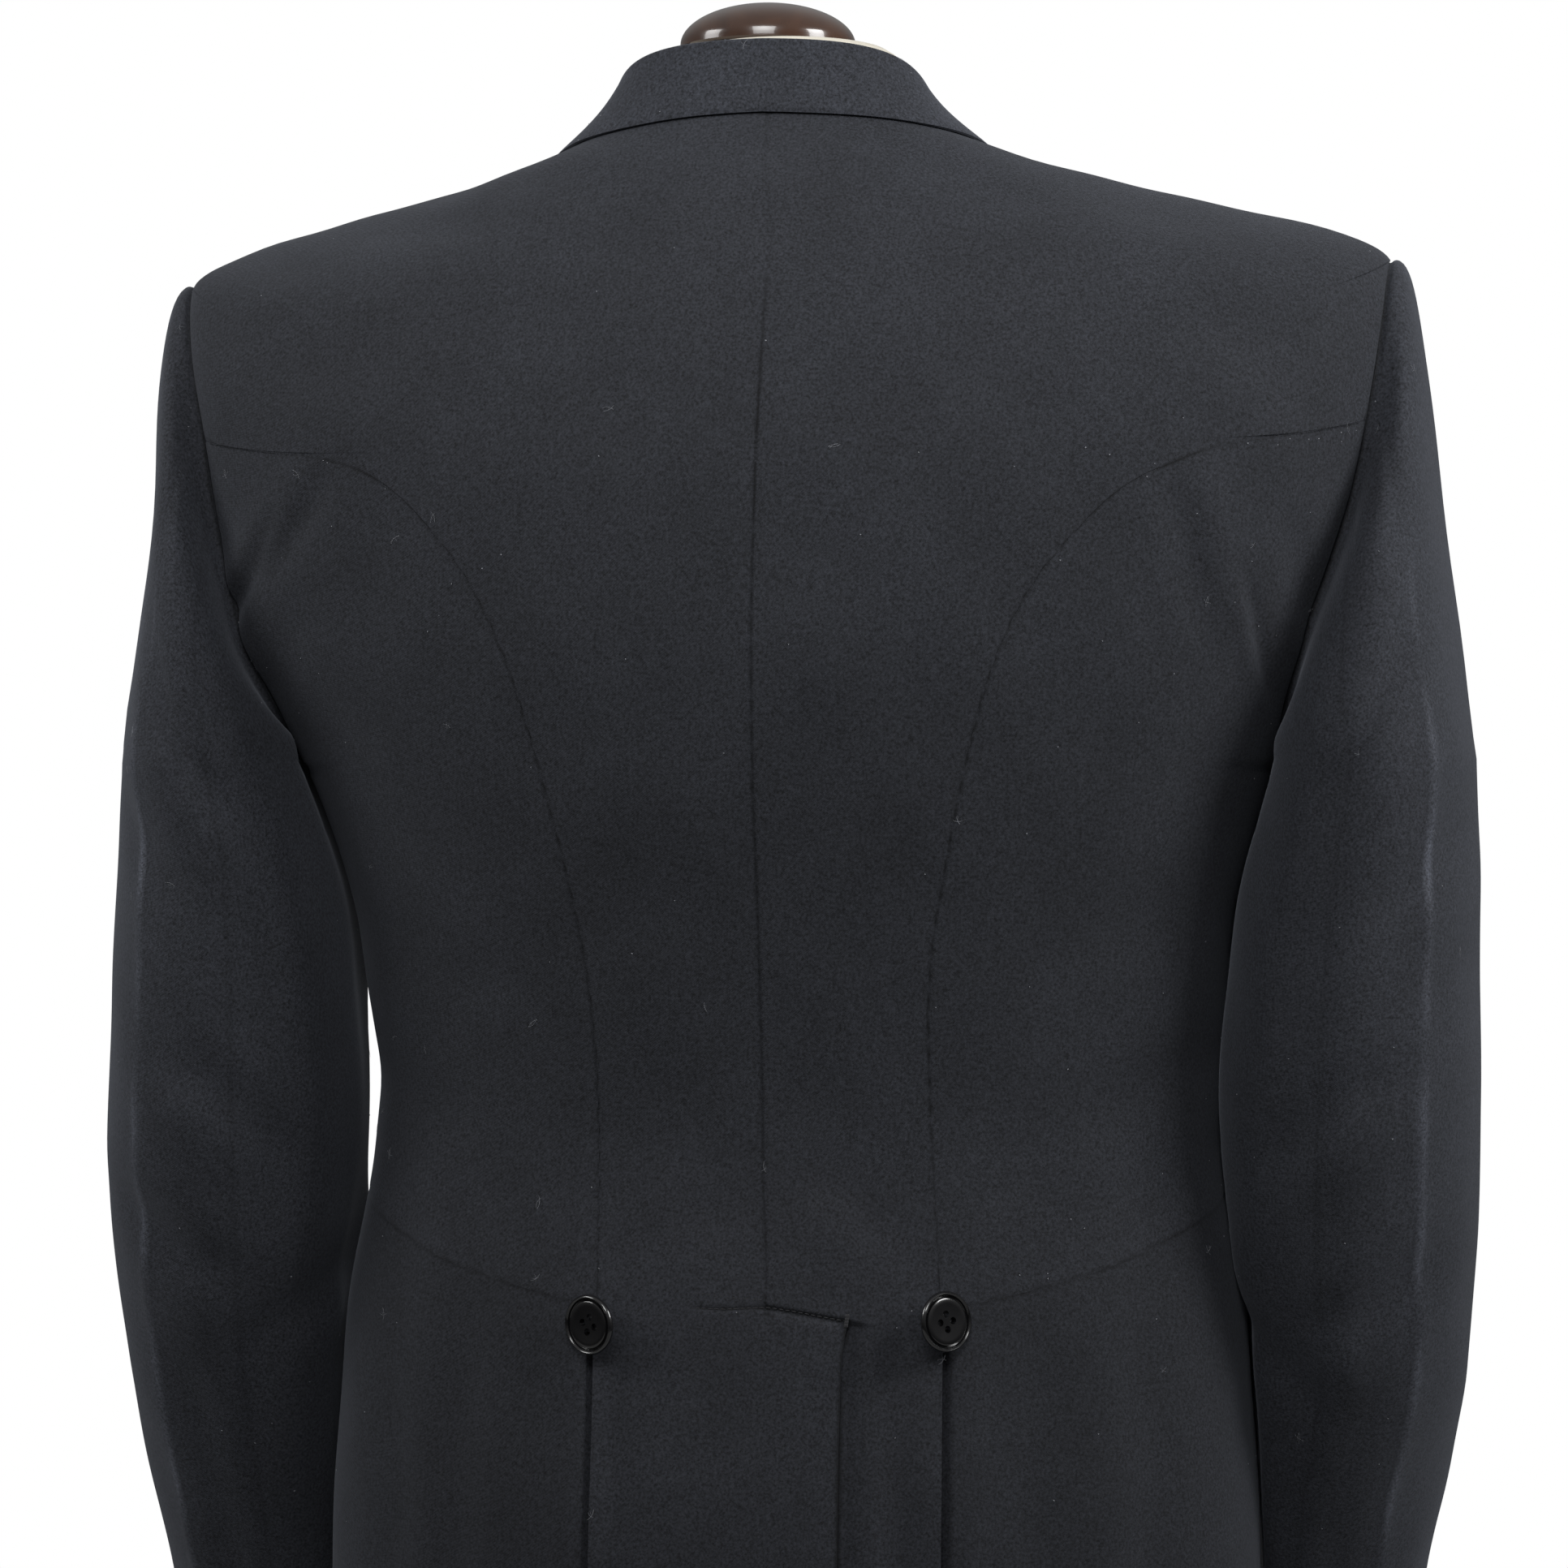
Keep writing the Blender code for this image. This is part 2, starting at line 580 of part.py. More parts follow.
def make_collar(cloth):
    """the turned collar: a stand round the neck and a fall that lies on the back"""
    share = np.linspace(0.0, 1.0, COLLAR_STEPS)
    angle, level = collar_line(share)
    edge = coat_point(angle, level)
    normal = coat_normal(angle, level)
    away = unit(np.cross(normal, along(edge)))
    below = coat_point(angle, level - 0.02) - edge
    away = away * np.sign(np.sum(away[0] * below[0]))
    stand = smooth(COLLAR, share, 1)[:, None]
    lean = np.radians(smooth(COLLAR, share, 2))[:, None]
    reach = smooth(COLLAR, share, 3)
    up = normal * np.cos(lean) - away * np.sin(lean)
    fall_angle, fall_level = surface_walk(angle, level, away, reach)
    fall = coat_point(fall_angle, fall_level) + coat_normal(fall_angle, fall_level) * (LAYER + 0.0004)
    foot = edge - away * SEAM
    crest = foot + up * stand
    outward = unit(fall - crest)
    over = unit(np.cross(along(crest), outward))
    over = over * np.sign(np.sum(over * up, axis=-1, keepdims=True))
    bend = 0.0026
    across = away - up * np.sum(away * up, axis=-1, keepdims=True)
    across = unit(across)
    path = [
        foot - across * WALL,
        foot + up * stand * 0.5 - across * WALL,
        crest - across * WALL,
        crest + over * bend * 0.8 + across * 0.0004,
        crest + outward * bend * 1.6 + over * bend * 0.85,
        (crest + fall) / 2 + over * (WALL * 0.55),
        fall,
    ]
    under = unit(np.cross(along(fall), fall - crest))
    under = under * np.sign(np.sum(under * normal, axis=-1, keepdims=True))
    lining = [
        foot,
        foot + up * stand * 0.5,
        crest - up * 0.0012,
        crest - up * 0.0004 + across * 0.0008,
        crest + outward * bend * 1.2 + over * 0.0004,
        (crest + fall) / 2 + over * (WALL * 0.55) - under * WALL,
        fall - under * WALL,
    ]
    outer = np.array(path)
    inner = np.array(lining)
    left = np.transpose(outer, (1, 0, 2))
    left_in = np.transpose(inner, (1, 0, 2))
    mirror = np.array([-1.0, 1.0, 1.0])
    whole = np.concatenate([(left * mirror)[:0:-1], left])
    whole_in = np.concatenate([(left_in * mirror)[:0:-1], left_in])
    return wall_object("collar", whole, whole_in, cloth)


def make_lapels(silk):
    """peaked lapels, folded back along the roll line and lying on the foreparts"""
    rows = 10
    columns = 7
    across = np.linspace(0.0, 1.0, columns)
    rise = np.linspace(0.0, 1.0, rows)
    top = smooth(((0.0, GORGE - 0.004), (0.30, 1.478), (0.5, 1.445), (0.62, 1.420), (1.0, 1.436)), across)
    width = smooth(((0.0, 0.006), (0.35, 0.040), (0.75, 0.072), (0.92, 0.088), (1.0, 0.094)), rise)
    level = ROLL_BOTTOM + (top[None, :] - ROLL_BOTTOM) * rise[:, None]
    start = smooth(FRONT_EDGE, level) + 0.0006
    place = start + width[:, None] * across[None, :]
    angle = front_angle(place, level)
    depth = np.full_like(angle, LAYER + LAPEL_EASE)
    for name, mirrored in (("lapel_left", False), ("lapel_right", True)):
        coat_panel(name, angle, level, ("top",), silk, mirrored, depth)


def turned(profile, sides):
    """a closed turned body: profile is radius and height, from axis to axis"""
    builder = bmesh.new()
    rings = []
    for radius, height in profile:
        if radius < 1e-9:
            rings.append([builder.verts.new((0.0, 0.0, height))])
            continue
        ring = []
        for k in range(sides):
            turn = 2.0 * math.pi * k / sides
            ring.append(builder.verts.new((radius * math.cos(turn), radius * math.sin(turn), height)))
        rings.append(ring)
    for low, high in zip(rings, rings[1:]):
        for k in range(sides):
            j = (k + 1) % sides
            corners = [low[k % len(low)], low[j % len(low)], high[j % len(high)], high[k % len(high)]]
            seen = list(dict.fromkeys(corners))
            builder.faces.new(seen)
    return builder


def button_profile(radius):
    """a button on its thread shank, with a raised rim round a shallow dish"""
    return (
        (0.0, SEAM),
        (0.0030, SEAM),
        (0.0026, 0.0024),
        (radius * 0.86, 0.0026),
        (radius, 0.0040),
        (radius * 0.93, 0.0060),
        (radius * 0.72, 0.0050),
        (0.0, 0.0048),
    )


def make_button(name, radius, angle, level, sides, horn, mirrored, lift=0.0):
    """place a button square to the cloth"""
    point = coat_point(angle, level)
    normal = coat_normal(angle, level)
    side = -1.0 if mirrored else 1.0
    builder = turned(button_profile(radius), sides)
    item = new_object(name, builder, horn)
    place = point + normal * lift
    item.location = (side * place[0], place[1], place[2])
    facing = (side * normal[0], normal[1], normal[2])
    polar = math.acos(max(-1.0, min(1.0, facing[2])))
    heading = math.atan2(facing[1], facing[0])
    item.rotation_euler = (0.0, polar, heading)
    return item


def make_buttons(horn):
    """two hip buttons at the heads of the pleats, three front buttons on each forepart"""
    for side, mirrored in (("left", False), ("right", True)):
        angle = float(back_angle(PLEAT_X, HIP_BUTTON_LEVEL))
        make_button("hip_button_" + side, HIP_BUTTON, angle, HIP_BUTTON_LEVEL, 18, horn, mirrored, 0.0004)
        for k, (level, x) in enumerate(FRONT_BUTTONS):
            angle = float(front_angle(x + 0.012, level))
            name = "front_button_" + side + "_" + str(k + 1)
            make_button(name, FRONT_BUTTON, angle, level, 12, horn, mirrored, 0.0001)


def form_offset(level):
    """gap between the coat surface and the form: nearly touching on the shoulders"""
    return smooth(
        ((0.87, 0.016), (1.03, 0.014), (1.17, 0.011), (1.29, 0.007), (1.385, 0.0045), (1.43, 0.0029), (1.53, 0.0032), (1.58, 0.0052)),
        level,
    )


def make_form(cover):
    """the padded torso form with a short neck and flat sides where the arms would be"""
    count = 32
    turns = 2.0 * math.pi * np.arange(count) / count
    builder = bmesh.new()
    rings = []
    bottom = coat_point(turns, 0.90) - coat_normal(turns, 0.90) * 0.022
    bottom[:, 2] = FORM_BOTTOM
    rings.append(bottom)
    for level in FORM_LEVELS:
        folded = np.where(turns > math.pi, 2.0 * math.pi - turns, turns)
        side = np.where(turns > math.pi, -1.0, 1.0)
        gap = form_offset(level) + 0.004 * np.clip((np.degrees(folded) - 95.0) / 20.0, 0.0, 1.0)
        ring = coat_point(folded, level) - coat_normal(folded, level) * gap[:, None]
        limit = FORM_PLATE_X
        blend = 0.010
        over = (ring[:, 0] - limit) / blend
        eased = limit + blend * (over - np.log1p(np.exp(np.clip(over, -40, 40))))
        ring[:, 0] = np.where(level > 1.2, eased, ring[:, 0])
        ring[:, 0] = np.maximum(ring[:, 0], 0.0) * side
        rings.append(ring)
    for height, radius in NECK_RINGS:
        y = NECK_CENTRE_Y + radius * 1.05 * np.cos(turns)
        rings.append(np.stack([radius * np.sin(turns), y, np.full(count, height)], axis=-1))
    grid = [[builder.verts.new(tuple(p)) for p in ring] for ring in rings]
    for low, high in zip(grid, grid[1:]):
        for k in range(count):
            j = (k + 1) % count
            builder.faces.new((low[k], low[j], high[j], high[k]))
    builder.faces.new(grid[0])
    builder.faces.new(grid[-1])
    return new_object("form_torso", builder, cover)


def make_stand(wood, iron):
    """the neck cap, the pole and the round foot of the form"""
    dome = [(0.0, 0.0), (CAP_RADIUS, 0.0)]
    steps = 5
    for k in range(1, steps):
        turn = math.pi / 2 * k / steps
        dome.append((CAP_RADIUS * math.cos(turn), 0.002 + (CAP_HEIGHT - 0.002) * math.sin(turn)))
    dome.append((0.0, CAP_HEIGHT))
    cap = new_object("neck_cap", turned(dome, 24), wood)
    cap.location = (CAP_X, NECK_CENTRE_Y, CAP_BASE)
    top = FORM_BOTTOM - SEAM
    foot = BASE_HEIGHT + SEAM
    pole = new_object("pole", turned(((0.0, foot), (POLE_RADIUS, foot), (POLE_RADIUS, top), (0.0, top)), 20), iron)
    pole.location = (0.0, 0.0, 0.0)
    plate = (
        (0.0, 0.0), (BASE_RADIUS, 0.0), (BASE_RADIUS, 0.010), (BASE_RADIUS * 0.94, 0.016),
        (BASE_RADIUS * 0.30, 0.024), (BASE_RADIUS * 0.22, BASE_HEIGHT), (0.0, BASE_HEIGHT),
    )
    new_object("base", turned(plate, 40), iron)


def main():
    clear_scene()
    cloth = finish("navy_wool", (0.022, 0.024, 0.029), 0.85)
    silk = finish("lapel_silk", (0.014, 0.015, 0.018), 0.45)
    horn = finish("black_button", (0.008, 0.008, 0.009), 0.22)
    cover = finish("form_cover", (0.72, 0.68, 0.58), 0.90)
    wood = finish("cap_wood", (0.055, 0.026, 0.016), 0.25)
    iron = finish("stand_iron", (0.020, 0.020, 0.022), 0.45, 0.6)
    make_backs(cloth)
    make_side_bodies(cloth)
    make_foreparts(cloth)
    make_skirts(cloth)
    make_sleeves(cloth)
    make_collar(cloth)
    make_lapels(silk)
    make_buttons(horn)
    make_form(cover)
    make_stand(wood, iron)


main()
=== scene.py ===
"""The looks of a white tie tailcoat on its dress form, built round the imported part.

Metres, +Z up, floor at z = 0. The back of the coat faces +Y and the wearer's left is +X.
"""
import json
import math
import random

import bmesh
import bpy
import numpy as np
from mathutils import Matrix, Vector
from mathutils.kdtree import KDTree

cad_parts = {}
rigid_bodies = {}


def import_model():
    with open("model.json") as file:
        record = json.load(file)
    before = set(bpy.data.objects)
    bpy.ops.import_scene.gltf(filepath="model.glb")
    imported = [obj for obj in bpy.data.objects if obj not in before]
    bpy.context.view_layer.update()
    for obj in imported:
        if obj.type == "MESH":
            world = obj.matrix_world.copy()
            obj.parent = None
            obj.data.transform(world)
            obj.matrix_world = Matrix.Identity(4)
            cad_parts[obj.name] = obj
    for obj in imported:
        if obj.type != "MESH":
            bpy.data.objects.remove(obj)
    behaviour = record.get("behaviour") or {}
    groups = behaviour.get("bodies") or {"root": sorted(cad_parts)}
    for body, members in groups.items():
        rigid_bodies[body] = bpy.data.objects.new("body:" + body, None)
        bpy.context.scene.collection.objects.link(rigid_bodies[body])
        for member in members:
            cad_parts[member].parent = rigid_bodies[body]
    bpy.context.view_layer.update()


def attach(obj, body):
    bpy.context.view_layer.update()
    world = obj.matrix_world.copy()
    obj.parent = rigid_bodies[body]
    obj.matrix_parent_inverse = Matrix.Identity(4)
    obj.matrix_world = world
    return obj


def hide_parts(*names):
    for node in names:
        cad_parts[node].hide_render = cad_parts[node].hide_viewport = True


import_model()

# The two backs
# Fine matt worsted, very dark navy, cut and pressed to the shape of the body. Each back runs
# on into its tail; the left tail laps over the right one below the stitched head of the vent.
CLOTH = 0.0016
SQUARENESS = 2.4
HEM = 0.49
VENT_TOP = 1.0335
VENT_UNDERLAP = 0.018
WAIST = 1.034
ARMPIT = 1.237
SHOULDER_TIP = 1.4315
SIDE_SEAM_TOP = 1.362
NECK = 1.58
ARM_ANGLE = 92.0
PLEAT_X = 0.0655
RING_COLUMNS = (
    "level", "half_width", "y_back", "y_side", "y_front",
    "z_back", "z_back_corner", "z_side", "z_front_corner", "z_front",
)
RINGS = np.array([
    (0.490, 0.186, 0.124, 0.000, -0.118, 0.490, 0.490, 0.490, 0.490, 0.490),
    (0.700, 0.186, 0.125, 0.000, -0.120, 0.700, 0.700, 0.700, 0.700, 0.700),
    (0.930, 0.1835, 0.122, 0.000, -0.120, 0.930, 0.930, 0.930, 0.930, 0.930),
    (1.020, 0.1785, 0.110, 0.000, -0.116, 1.020, 1.020, 1.020, 1.020, 1.020),
    (1.100, 0.1690, 0.098, 0.000, -0.112, 1.100, 1.100, 1.100, 1.100, 1.100),
    (1.170, 0.1730, 0.106, 0.000, -0.120, 1.170, 1.170, 1.170, 1.170, 1.170),
    (1.237, 0.1920, 0.119, 0.000, -0.128, 1.237, 1.237, 1.237, 1.237, 1.237),
    (1.290, 0.2130, 0.1250, 0.002, -0.128, 1.290, 1.290, 1.290, 1.290, 1.290),
    (1.340, 0.2300, 0.1240, 0.004, -0.122, 1.340, 1.339, 1.345, 1.336, 1.334),
    (1.390, 0.2385, 0.1165, 0.008, -0.110, 1.388, 1.382, 1.406, 1.372, 1.366),
    (1.430, 0.2350, 0.1050, 0.010, -0.098, 1.424, 1.412, 1.4315, 1.398, 1.388),
    (1.500, 0.1600, 0.0850, 0.012, -0.088, 1.462, 1.450, 1.4585, 1.430, 1.402),
    (1.580, 0.0740, 0.0620, 0.012, -0.075, 1.492, 1.488, 1.4780, 1.452, 1.415),
])
# level and distance from the centre of the back
CENTRE_SEAM = (
    (0.49, 0.0005), (1.045, 0.0005), (1.083, 0.0022), (1.175, 0.0033), (1.233, 0.0042),
    (1.286, 0.0040), (1.346, 0.0027), (1.41, 0.0006), (1.47, -0.0016), (1.533, -0.0026), (1.58, -0.0028),
)
VENT_EDGE = ((0.49, 0.0268), (0.75, 0.0278), (0.973, 0.0274), (1.015, 0.0281), (1.026, 0.0292), (1.034, 0.0303))
SIDE_SEAMS = {
    1: (
        (1.034, 0.0648), (1.083, 0.0654), (1.12, 0.0660), (1.153, 0.0685), (1.196, 0.0758),
        (1.242, 0.0869), (1.277, 0.0974), (1.3095, 0.1131), (1.33, 0.1285), (1.348, 0.1463),
        (1.3543, 0.1560), (1.3585, 0.1680), (1.3610, 0.1860), (1.362, 0.2232),
    ),
    -1: (
        (1.034, 0.0650), (1.069, 0.0626), (1.10, 0.0606), (1.139, 0.0596), (1.166, 0.0611),
        (1.1965, 0.0661), (1.243, 0.0759), (1.2754, 0.0854), (1.303, 0.0988), (1.3285, 0.1195),
        (1.3445, 0.1373), (1.352, 0.1520), (1.358, 0.1671), (1.3607, 0.1860), (1.362, 0.2232),
    ),
}
# edge columns of every piece stand close together, so that its seam can sink in
EDGE_GAPS = (0.0, 0.0004, 0.0009, 0.0015, 0.0024, 0.0040)
GROOVE_DEPTH = 0.0008
GROOVE_WIDTH = 0.0013
SEAM_SHADE_WIDTH = 0.0006
SHOULDER_LEAN = 0.010
SHOULDER_SPREAD = (0.020, -0.003)
HOLE_SPREAD = 0.0115
BLADE_SPREAD = 0.005
NECK_LEAN = 0.0065
WAIST_PINCH = 0.0042


def smooth(table, where, column=1):
    """read a table's column between its rows, on a curve that never overshoots"""
    rows = np.asarray(table, dtype=float)
    keys = rows[:, 0]
    values = rows[:, column]
    steps = np.diff(keys)
    slopes = np.diff(values) / steps
    tangents = np.zeros(len(keys))
    tangents[0] = slopes[0]
    tangents[-1] = slopes[-1]
    for k in range(1, len(keys) - 1):
        if slopes[k - 1] * slopes[k] > 0.0:
            before = 2.0 * steps[k] + steps[k - 1]
            after = steps[k] + 2.0 * steps[k - 1]
            tangents[k] = (before + after) / (before / slopes[k - 1] + after / slopes[k])
    at = np.clip(np.asarray(where, dtype=float), keys[0], keys[-1])
    k = np.clip(np.searchsorted(keys, at, side="right") - 1, 0, len(keys) - 2)
    h = steps[k]
    t = (at - keys[k]) / h
    return (
        (2 * t**3 - 3 * t**2 + 1) * values[k]
        + (t**3 - 2 * t**2 + t) * h * tangents[k]
        + (3 * t**2 - 2 * t**3) * values[k + 1]
        + (t**3 - t**2) * h * tangents[k + 1]
    )


def ease(low, high, value):
    """0 below low, 1 above high, and soft in between"""
    t = np.clip((value - low) / (high - low), 0.0, 1.0)
    return t * t * (3.0 - 2.0 * t)


def softened(values, reach):
    """a run of numbers blurred over its neighbours, with both ends kept in place"""
    weights = np.exp(-((np.arange(-reach, reach + 1) / (0.4 * reach)) ** 2))
    before = 2.0 * values[0] - values[reach:0:-1]
    after = 2.0 * values[-1] - values[-2:-reach - 2:-1]
    return np.convolve(np.concatenate([before, values, after]), weights / weights.sum(), mode="valid")


RING_LEVELS = np.linspace(RINGS[0, 0], RINGS[-1, 0], 5451)
RING_CURVES = {
    name: softened(smooth(RINGS, RING_LEVELS, k), 100) for k, name in enumerate(RING_COLUMNS) if k > 0
}


def ring_column(name, level):
    return np.interp(level, RING_LEVELS, RING_CURVES[name])


HEIGHT_ANGLES = np.radians([0.0, 45.0, 90.0, 135.0, 180.0])
HEIGHT_WAVES = np.linalg.inv(np.cos(np.outer(HEIGHT_ANGLES, np.arange(5))))


def roundness(angle):
    """how far a squared-off ring stands out from a plain ellipse at this angle"""
    s = np.abs(np.sin(angle)) ** SQUARENESS
    c = np.abs(np.cos(angle)) ** SQUARENESS
    return (s + c) ** (-1.0 / SQUARENESS)


def coat_point(angle, level):
    """the coat's surface: angle from the centre of the back in radians, and level, to a point"""
    angle = np.asarray(angle, dtype=float)
    level = np.asarray(level, dtype=float)
    g = roundness(angle)
    side = ring_column("y_side", level)
    back = ring_column("y_back", level) - side
    front = side - ring_column("y_front", level)
    x = ring_column("half_width", level) * np.sin(angle) * g
    y = side + np.where(np.cos(angle) > 0.0, back, front) * np.cos(angle) * g
    heights = [ring_column(name, level) for name in RING_COLUMNS[5:]]
    z = np.zeros_like(x)
    for wave in range(5):
        share = sum(HEIGHT_WAVES[wave, k] * heights[k] for k in range(5))
        z = z + share * np.cos(wave * angle)
    return np.stack([x, y, z], axis=-1)


def unit(vectors):
    return vectors / np.maximum(np.linalg.norm(vectors, axis=-1, keepdims=True), 1e-12)


def coat_normal(angle, level):
    """unit normal of the coat's surface, pointing out of the body"""
    round_it = coat_point(angle + 1e-3, level) - coat_point(angle - 1e-3, level)
    up_it = coat_point(angle, level + 5e-4) - coat_point(angle, level - 5e-4)
    return unit(np.cross(up_it, round_it))


ANGLE_STEPS = np.linspace(0.0, math.pi / 2, 721)
WIDTH_STEPS = np.sin(ANGLE_STEPS) * roundness(ANGLE_STEPS)


def back_angle(x, level):
    """angle of the point of the back that lies x from the centre"""
    share = np.clip(x / ring_column("half_width", level), -0.999, 0.999)
    return np.sign(share) * np.interp(np.abs(share), WIDTH_STEPS, ANGLE_STEPS)


def armhole_angle(level, towards):
    """edge of the armhole at this level: towards is -1 at the back and 1 at the front"""
    middle = (ARMPIT + SHOULDER_TIP) / 2
    share = np.clip((level - middle) / (SHOULDER_TIP - middle), -1.0, 1.0)
    reach = (25.5 - 2.5 * share) * (1.0 - np.abs(share) ** 3.2) ** (1.0 / 3.2)
    return np.radians(ARM_ANGLE + towards * reach)


def side_seam_angle(side, level):
    return back_angle(smooth(SIDE_SEAMS[side], level), level)


def back_edge(side, level):
    """angle of a back's outer edge: pleat, side body seam, armhole, shoulder seam"""
    edge = np.where(level < WAIST, back_angle(PLEAT_X, level), side_seam_angle(side, level))
    edge = np.where(level > SIDE_SEAM_TOP - 1e-6, armhole_angle(level, -1), edge)
    return np.where(level >= SHOULDER_TIP, math.radians(ARM_ANGLE), edge)


def spans(*parts):
    """one run of numbers through spans of (start, stop, step)"""
    runs = [np.linspace(a, b, max(2, int(round(abs(b - a) / step)) + 1))[:-1] for a, b, step in parts]
    return np.concatenate(runs + [[parts[-1][1]]])


def stations(lengths, count):
    """columns across each row from edge to edge: close at both edges and even between them"""
    gaps = np.array(EDGE_GAPS)
    middle = np.linspace(0.0, 1.0, count)[1:-1]
    rows = []
    for length in lengths:
        near = gaps * min(1.0, length / (4.0 * gaps[-1])) / max(length, 1e-6)
        inner = near[-1] + (1.0 - 2.0 * near[-1]) * middle
        rows.append(np.concatenate([near, inner, 1.0 - near[::-1]]))
    return np.array(rows)


def panel_grid(levels, low, high, count):
    """angles and levels of a piece that runs between two edges, with close columns at both"""
    length = np.linalg.norm(coat_point(high, levels) - coat_point(low, levels), axis=-1)
    share = stations(length, count)
    angle = low[:, None] + (high - low)[:, None] * share
    return angle, np.repeat(levels[:, None], share.shape[1], axis=1)


# Soft folds of the coat's body. Each runs from one (x, level) to another; width and depth are
# in metres, and a trough has a ridge beside it on the side that it leans to.
BODY_FOLDS = (
    ((0.191, 1.336), (0.206, 1.297), 0.0036, 0.0011, 1), ((0.172, 1.348), (0.204, 1.295), 0.0062, 0.0013, -1),
    ((0.176, 1.300), (0.196, 1.262), 0.0090, 0.0006, -1), ((0.150, 1.338), (0.158, 1.290), 0.0120, 0.0005, 1),
    ((-0.149, 1.342), (-0.164, 1.286), 0.0075, 0.0012, 1), ((-0.179, 1.304), (-0.186, 1.267), 0.0032, 0.0011, -1),
    ((-0.196, 1.325), (-0.203, 1.288), 0.0060, 0.0008, -1), ((-0.146, 1.300), (-0.150, 1.265), 0.0110, 0.0004, 1),
    ((0.120, 1.095), (0.165, 1.120), 0.0110, 0.0009, 1), ((0.100, 1.150), (0.160, 1.175), 0.0150, 0.0007, -1),
    ((-0.110, 1.100), (-0.160, 1.125), 0.0110, 0.0009, -1), ((-0.095, 1.160), (-0.160, 1.190), 0.0160, 0.0006, 1),
    ((0.020, 1.075), (0.058, 1.050), 0.0090, 0.0005, 1), ((-0.018, 1.085), (-0.056, 1.052), 0.0090, 0.0005, -1),
    ((0.145, 1.410), (0.190, 1.395), 0.0160, 0.0007, 1), ((-0.150, 1.415), (-0.195, 1.400), 0.0160, 0.0007, -1),
)
TAIL_FOLDS = (
    ((0.0575, 1.012), (0.0560, 0.86), 0.0055, 0.0010, -1), ((0.0600, 0.86), (0.0570, 0.52), 0.0090, 0.0010, -1),
    ((-0.0485, 1.006), (-0.0505, 0.86), 0.0075, 0.0012, 1), ((-0.0500, 0.88), (-0.0470, 0.50), 0.0100, 0.0012, 1),
    ((0.020, 0.98), (0.016, 0.56), 0.0160, 0.0008, 1), ((0.118, 1.028), (0.126, 0.80), 0.0110, 0.0018, 1),
    ((0.146, 1.035), (0.152, 0.70), 0.0100, 0.0014, 1), ((-0.100, 1.030), (-0.106, 0.66), 0.0120, 0.0012, -1),
    ((-0.140, 1.040), (-0.150, 0.72), 0.0100, 0.0018, -1), ((0.092, 0.90), (0.096, 0.52), 0.0150, 0.0014, 1),
    ((-0.086, 0.96), (-0.090, 0.50), 0.0130, 0.0010, -1),
)
FRONT_FOLDS = (
    ((0.200, 1.330), (0.160, 1.290), 0.0090, 0.0016, 1), ((-0.200, 1.325), (-0.165, 1.280), 0.0090, 0.0017, -1),
    ((0.150, 1.120), (0.095, 1.100), 0.0110, 0.0010, 1), ((-0.150, 1.125), (-0.100, 1.090), 0.0110, 0.0009, -1),
    ((0.170, 1.230), (0.120, 1.160), 0.0160, 0.0008, -1), ((-0.168, 1.220), (-0.125, 1.165), 0.0160, 0.0008, 1),
)


def fold_relief(x, level, folds):
    """depth that a list of folds gives at each place"""
    depth = np.zeros_like(x)
    for (x0, l0), (x1, l1), width, trough, leaning in folds:
        run = np.array([x1 - x0, l1 - l0])
        length = np.linalg.norm(run)
        run = run / length
        along_it = (x - x0) * run[0] + (level - l0) * run[1]
        off = (x - x0) * run[1] - (level - l0) * run[0]
        off = off + 0.12 * width * np.sin(along_it * 70.0 + x0 * 900.0)
        fade = ease(-0.35 * length, 0.30 * length, along_it) * (1.0 - ease(0.65 * length, 1.4 * length, along_it))
        hollow = np.exp(-((off / width) ** 2))
        ridge = np.exp(-(((off - leaning * 1.7 * width) / (1.25 * width)) ** 2))
        depth += 1.5 * trough * fade * (0.55 * ridge - hollow)
    return depth


WAVE_SEEDS = random.Random(11)
WAVES = [
    (WAVE_SEEDS.uniform(8, 34), WAVE_SEEDS.uniform(6, 26), WAVE_SEEDS.uniform(0, 6.28), WAVE_SEEDS.uniform(0.4, 1.0))
    for _ in range(14)
]


def unevenness(x, y, level, amount):
    """slow, small waves all over the cloth, the same on both sides of a seam"""
    total = np.zeros_like(x)
    for k, (across, down, phase, share) in enumerate(WAVES):
        turn = across * (x * math.cos(k) + y * math.sin(k)) * 4.0 + down * level * 3.0 + phase
        total += share * np.sin(turn)
    return amount * total / len(WAVES)


def body_relief(points, angle, level):
    """folds and unevenness of the coat's body at each point"""
    x = points[..., 0]
    behind = ease(-0.15, 0.15, np.cos(angle))
    relief = fold_relief(x, level, BODY_FOLDS) * behind + fold_relief(x, level, TAIL_FOLDS) * behind
    relief += fold_relief(x, level, FRONT_FOLDS) * (1.0 - behind)
    return relief + unevenness(x, points[..., 1], level, 0.0022)


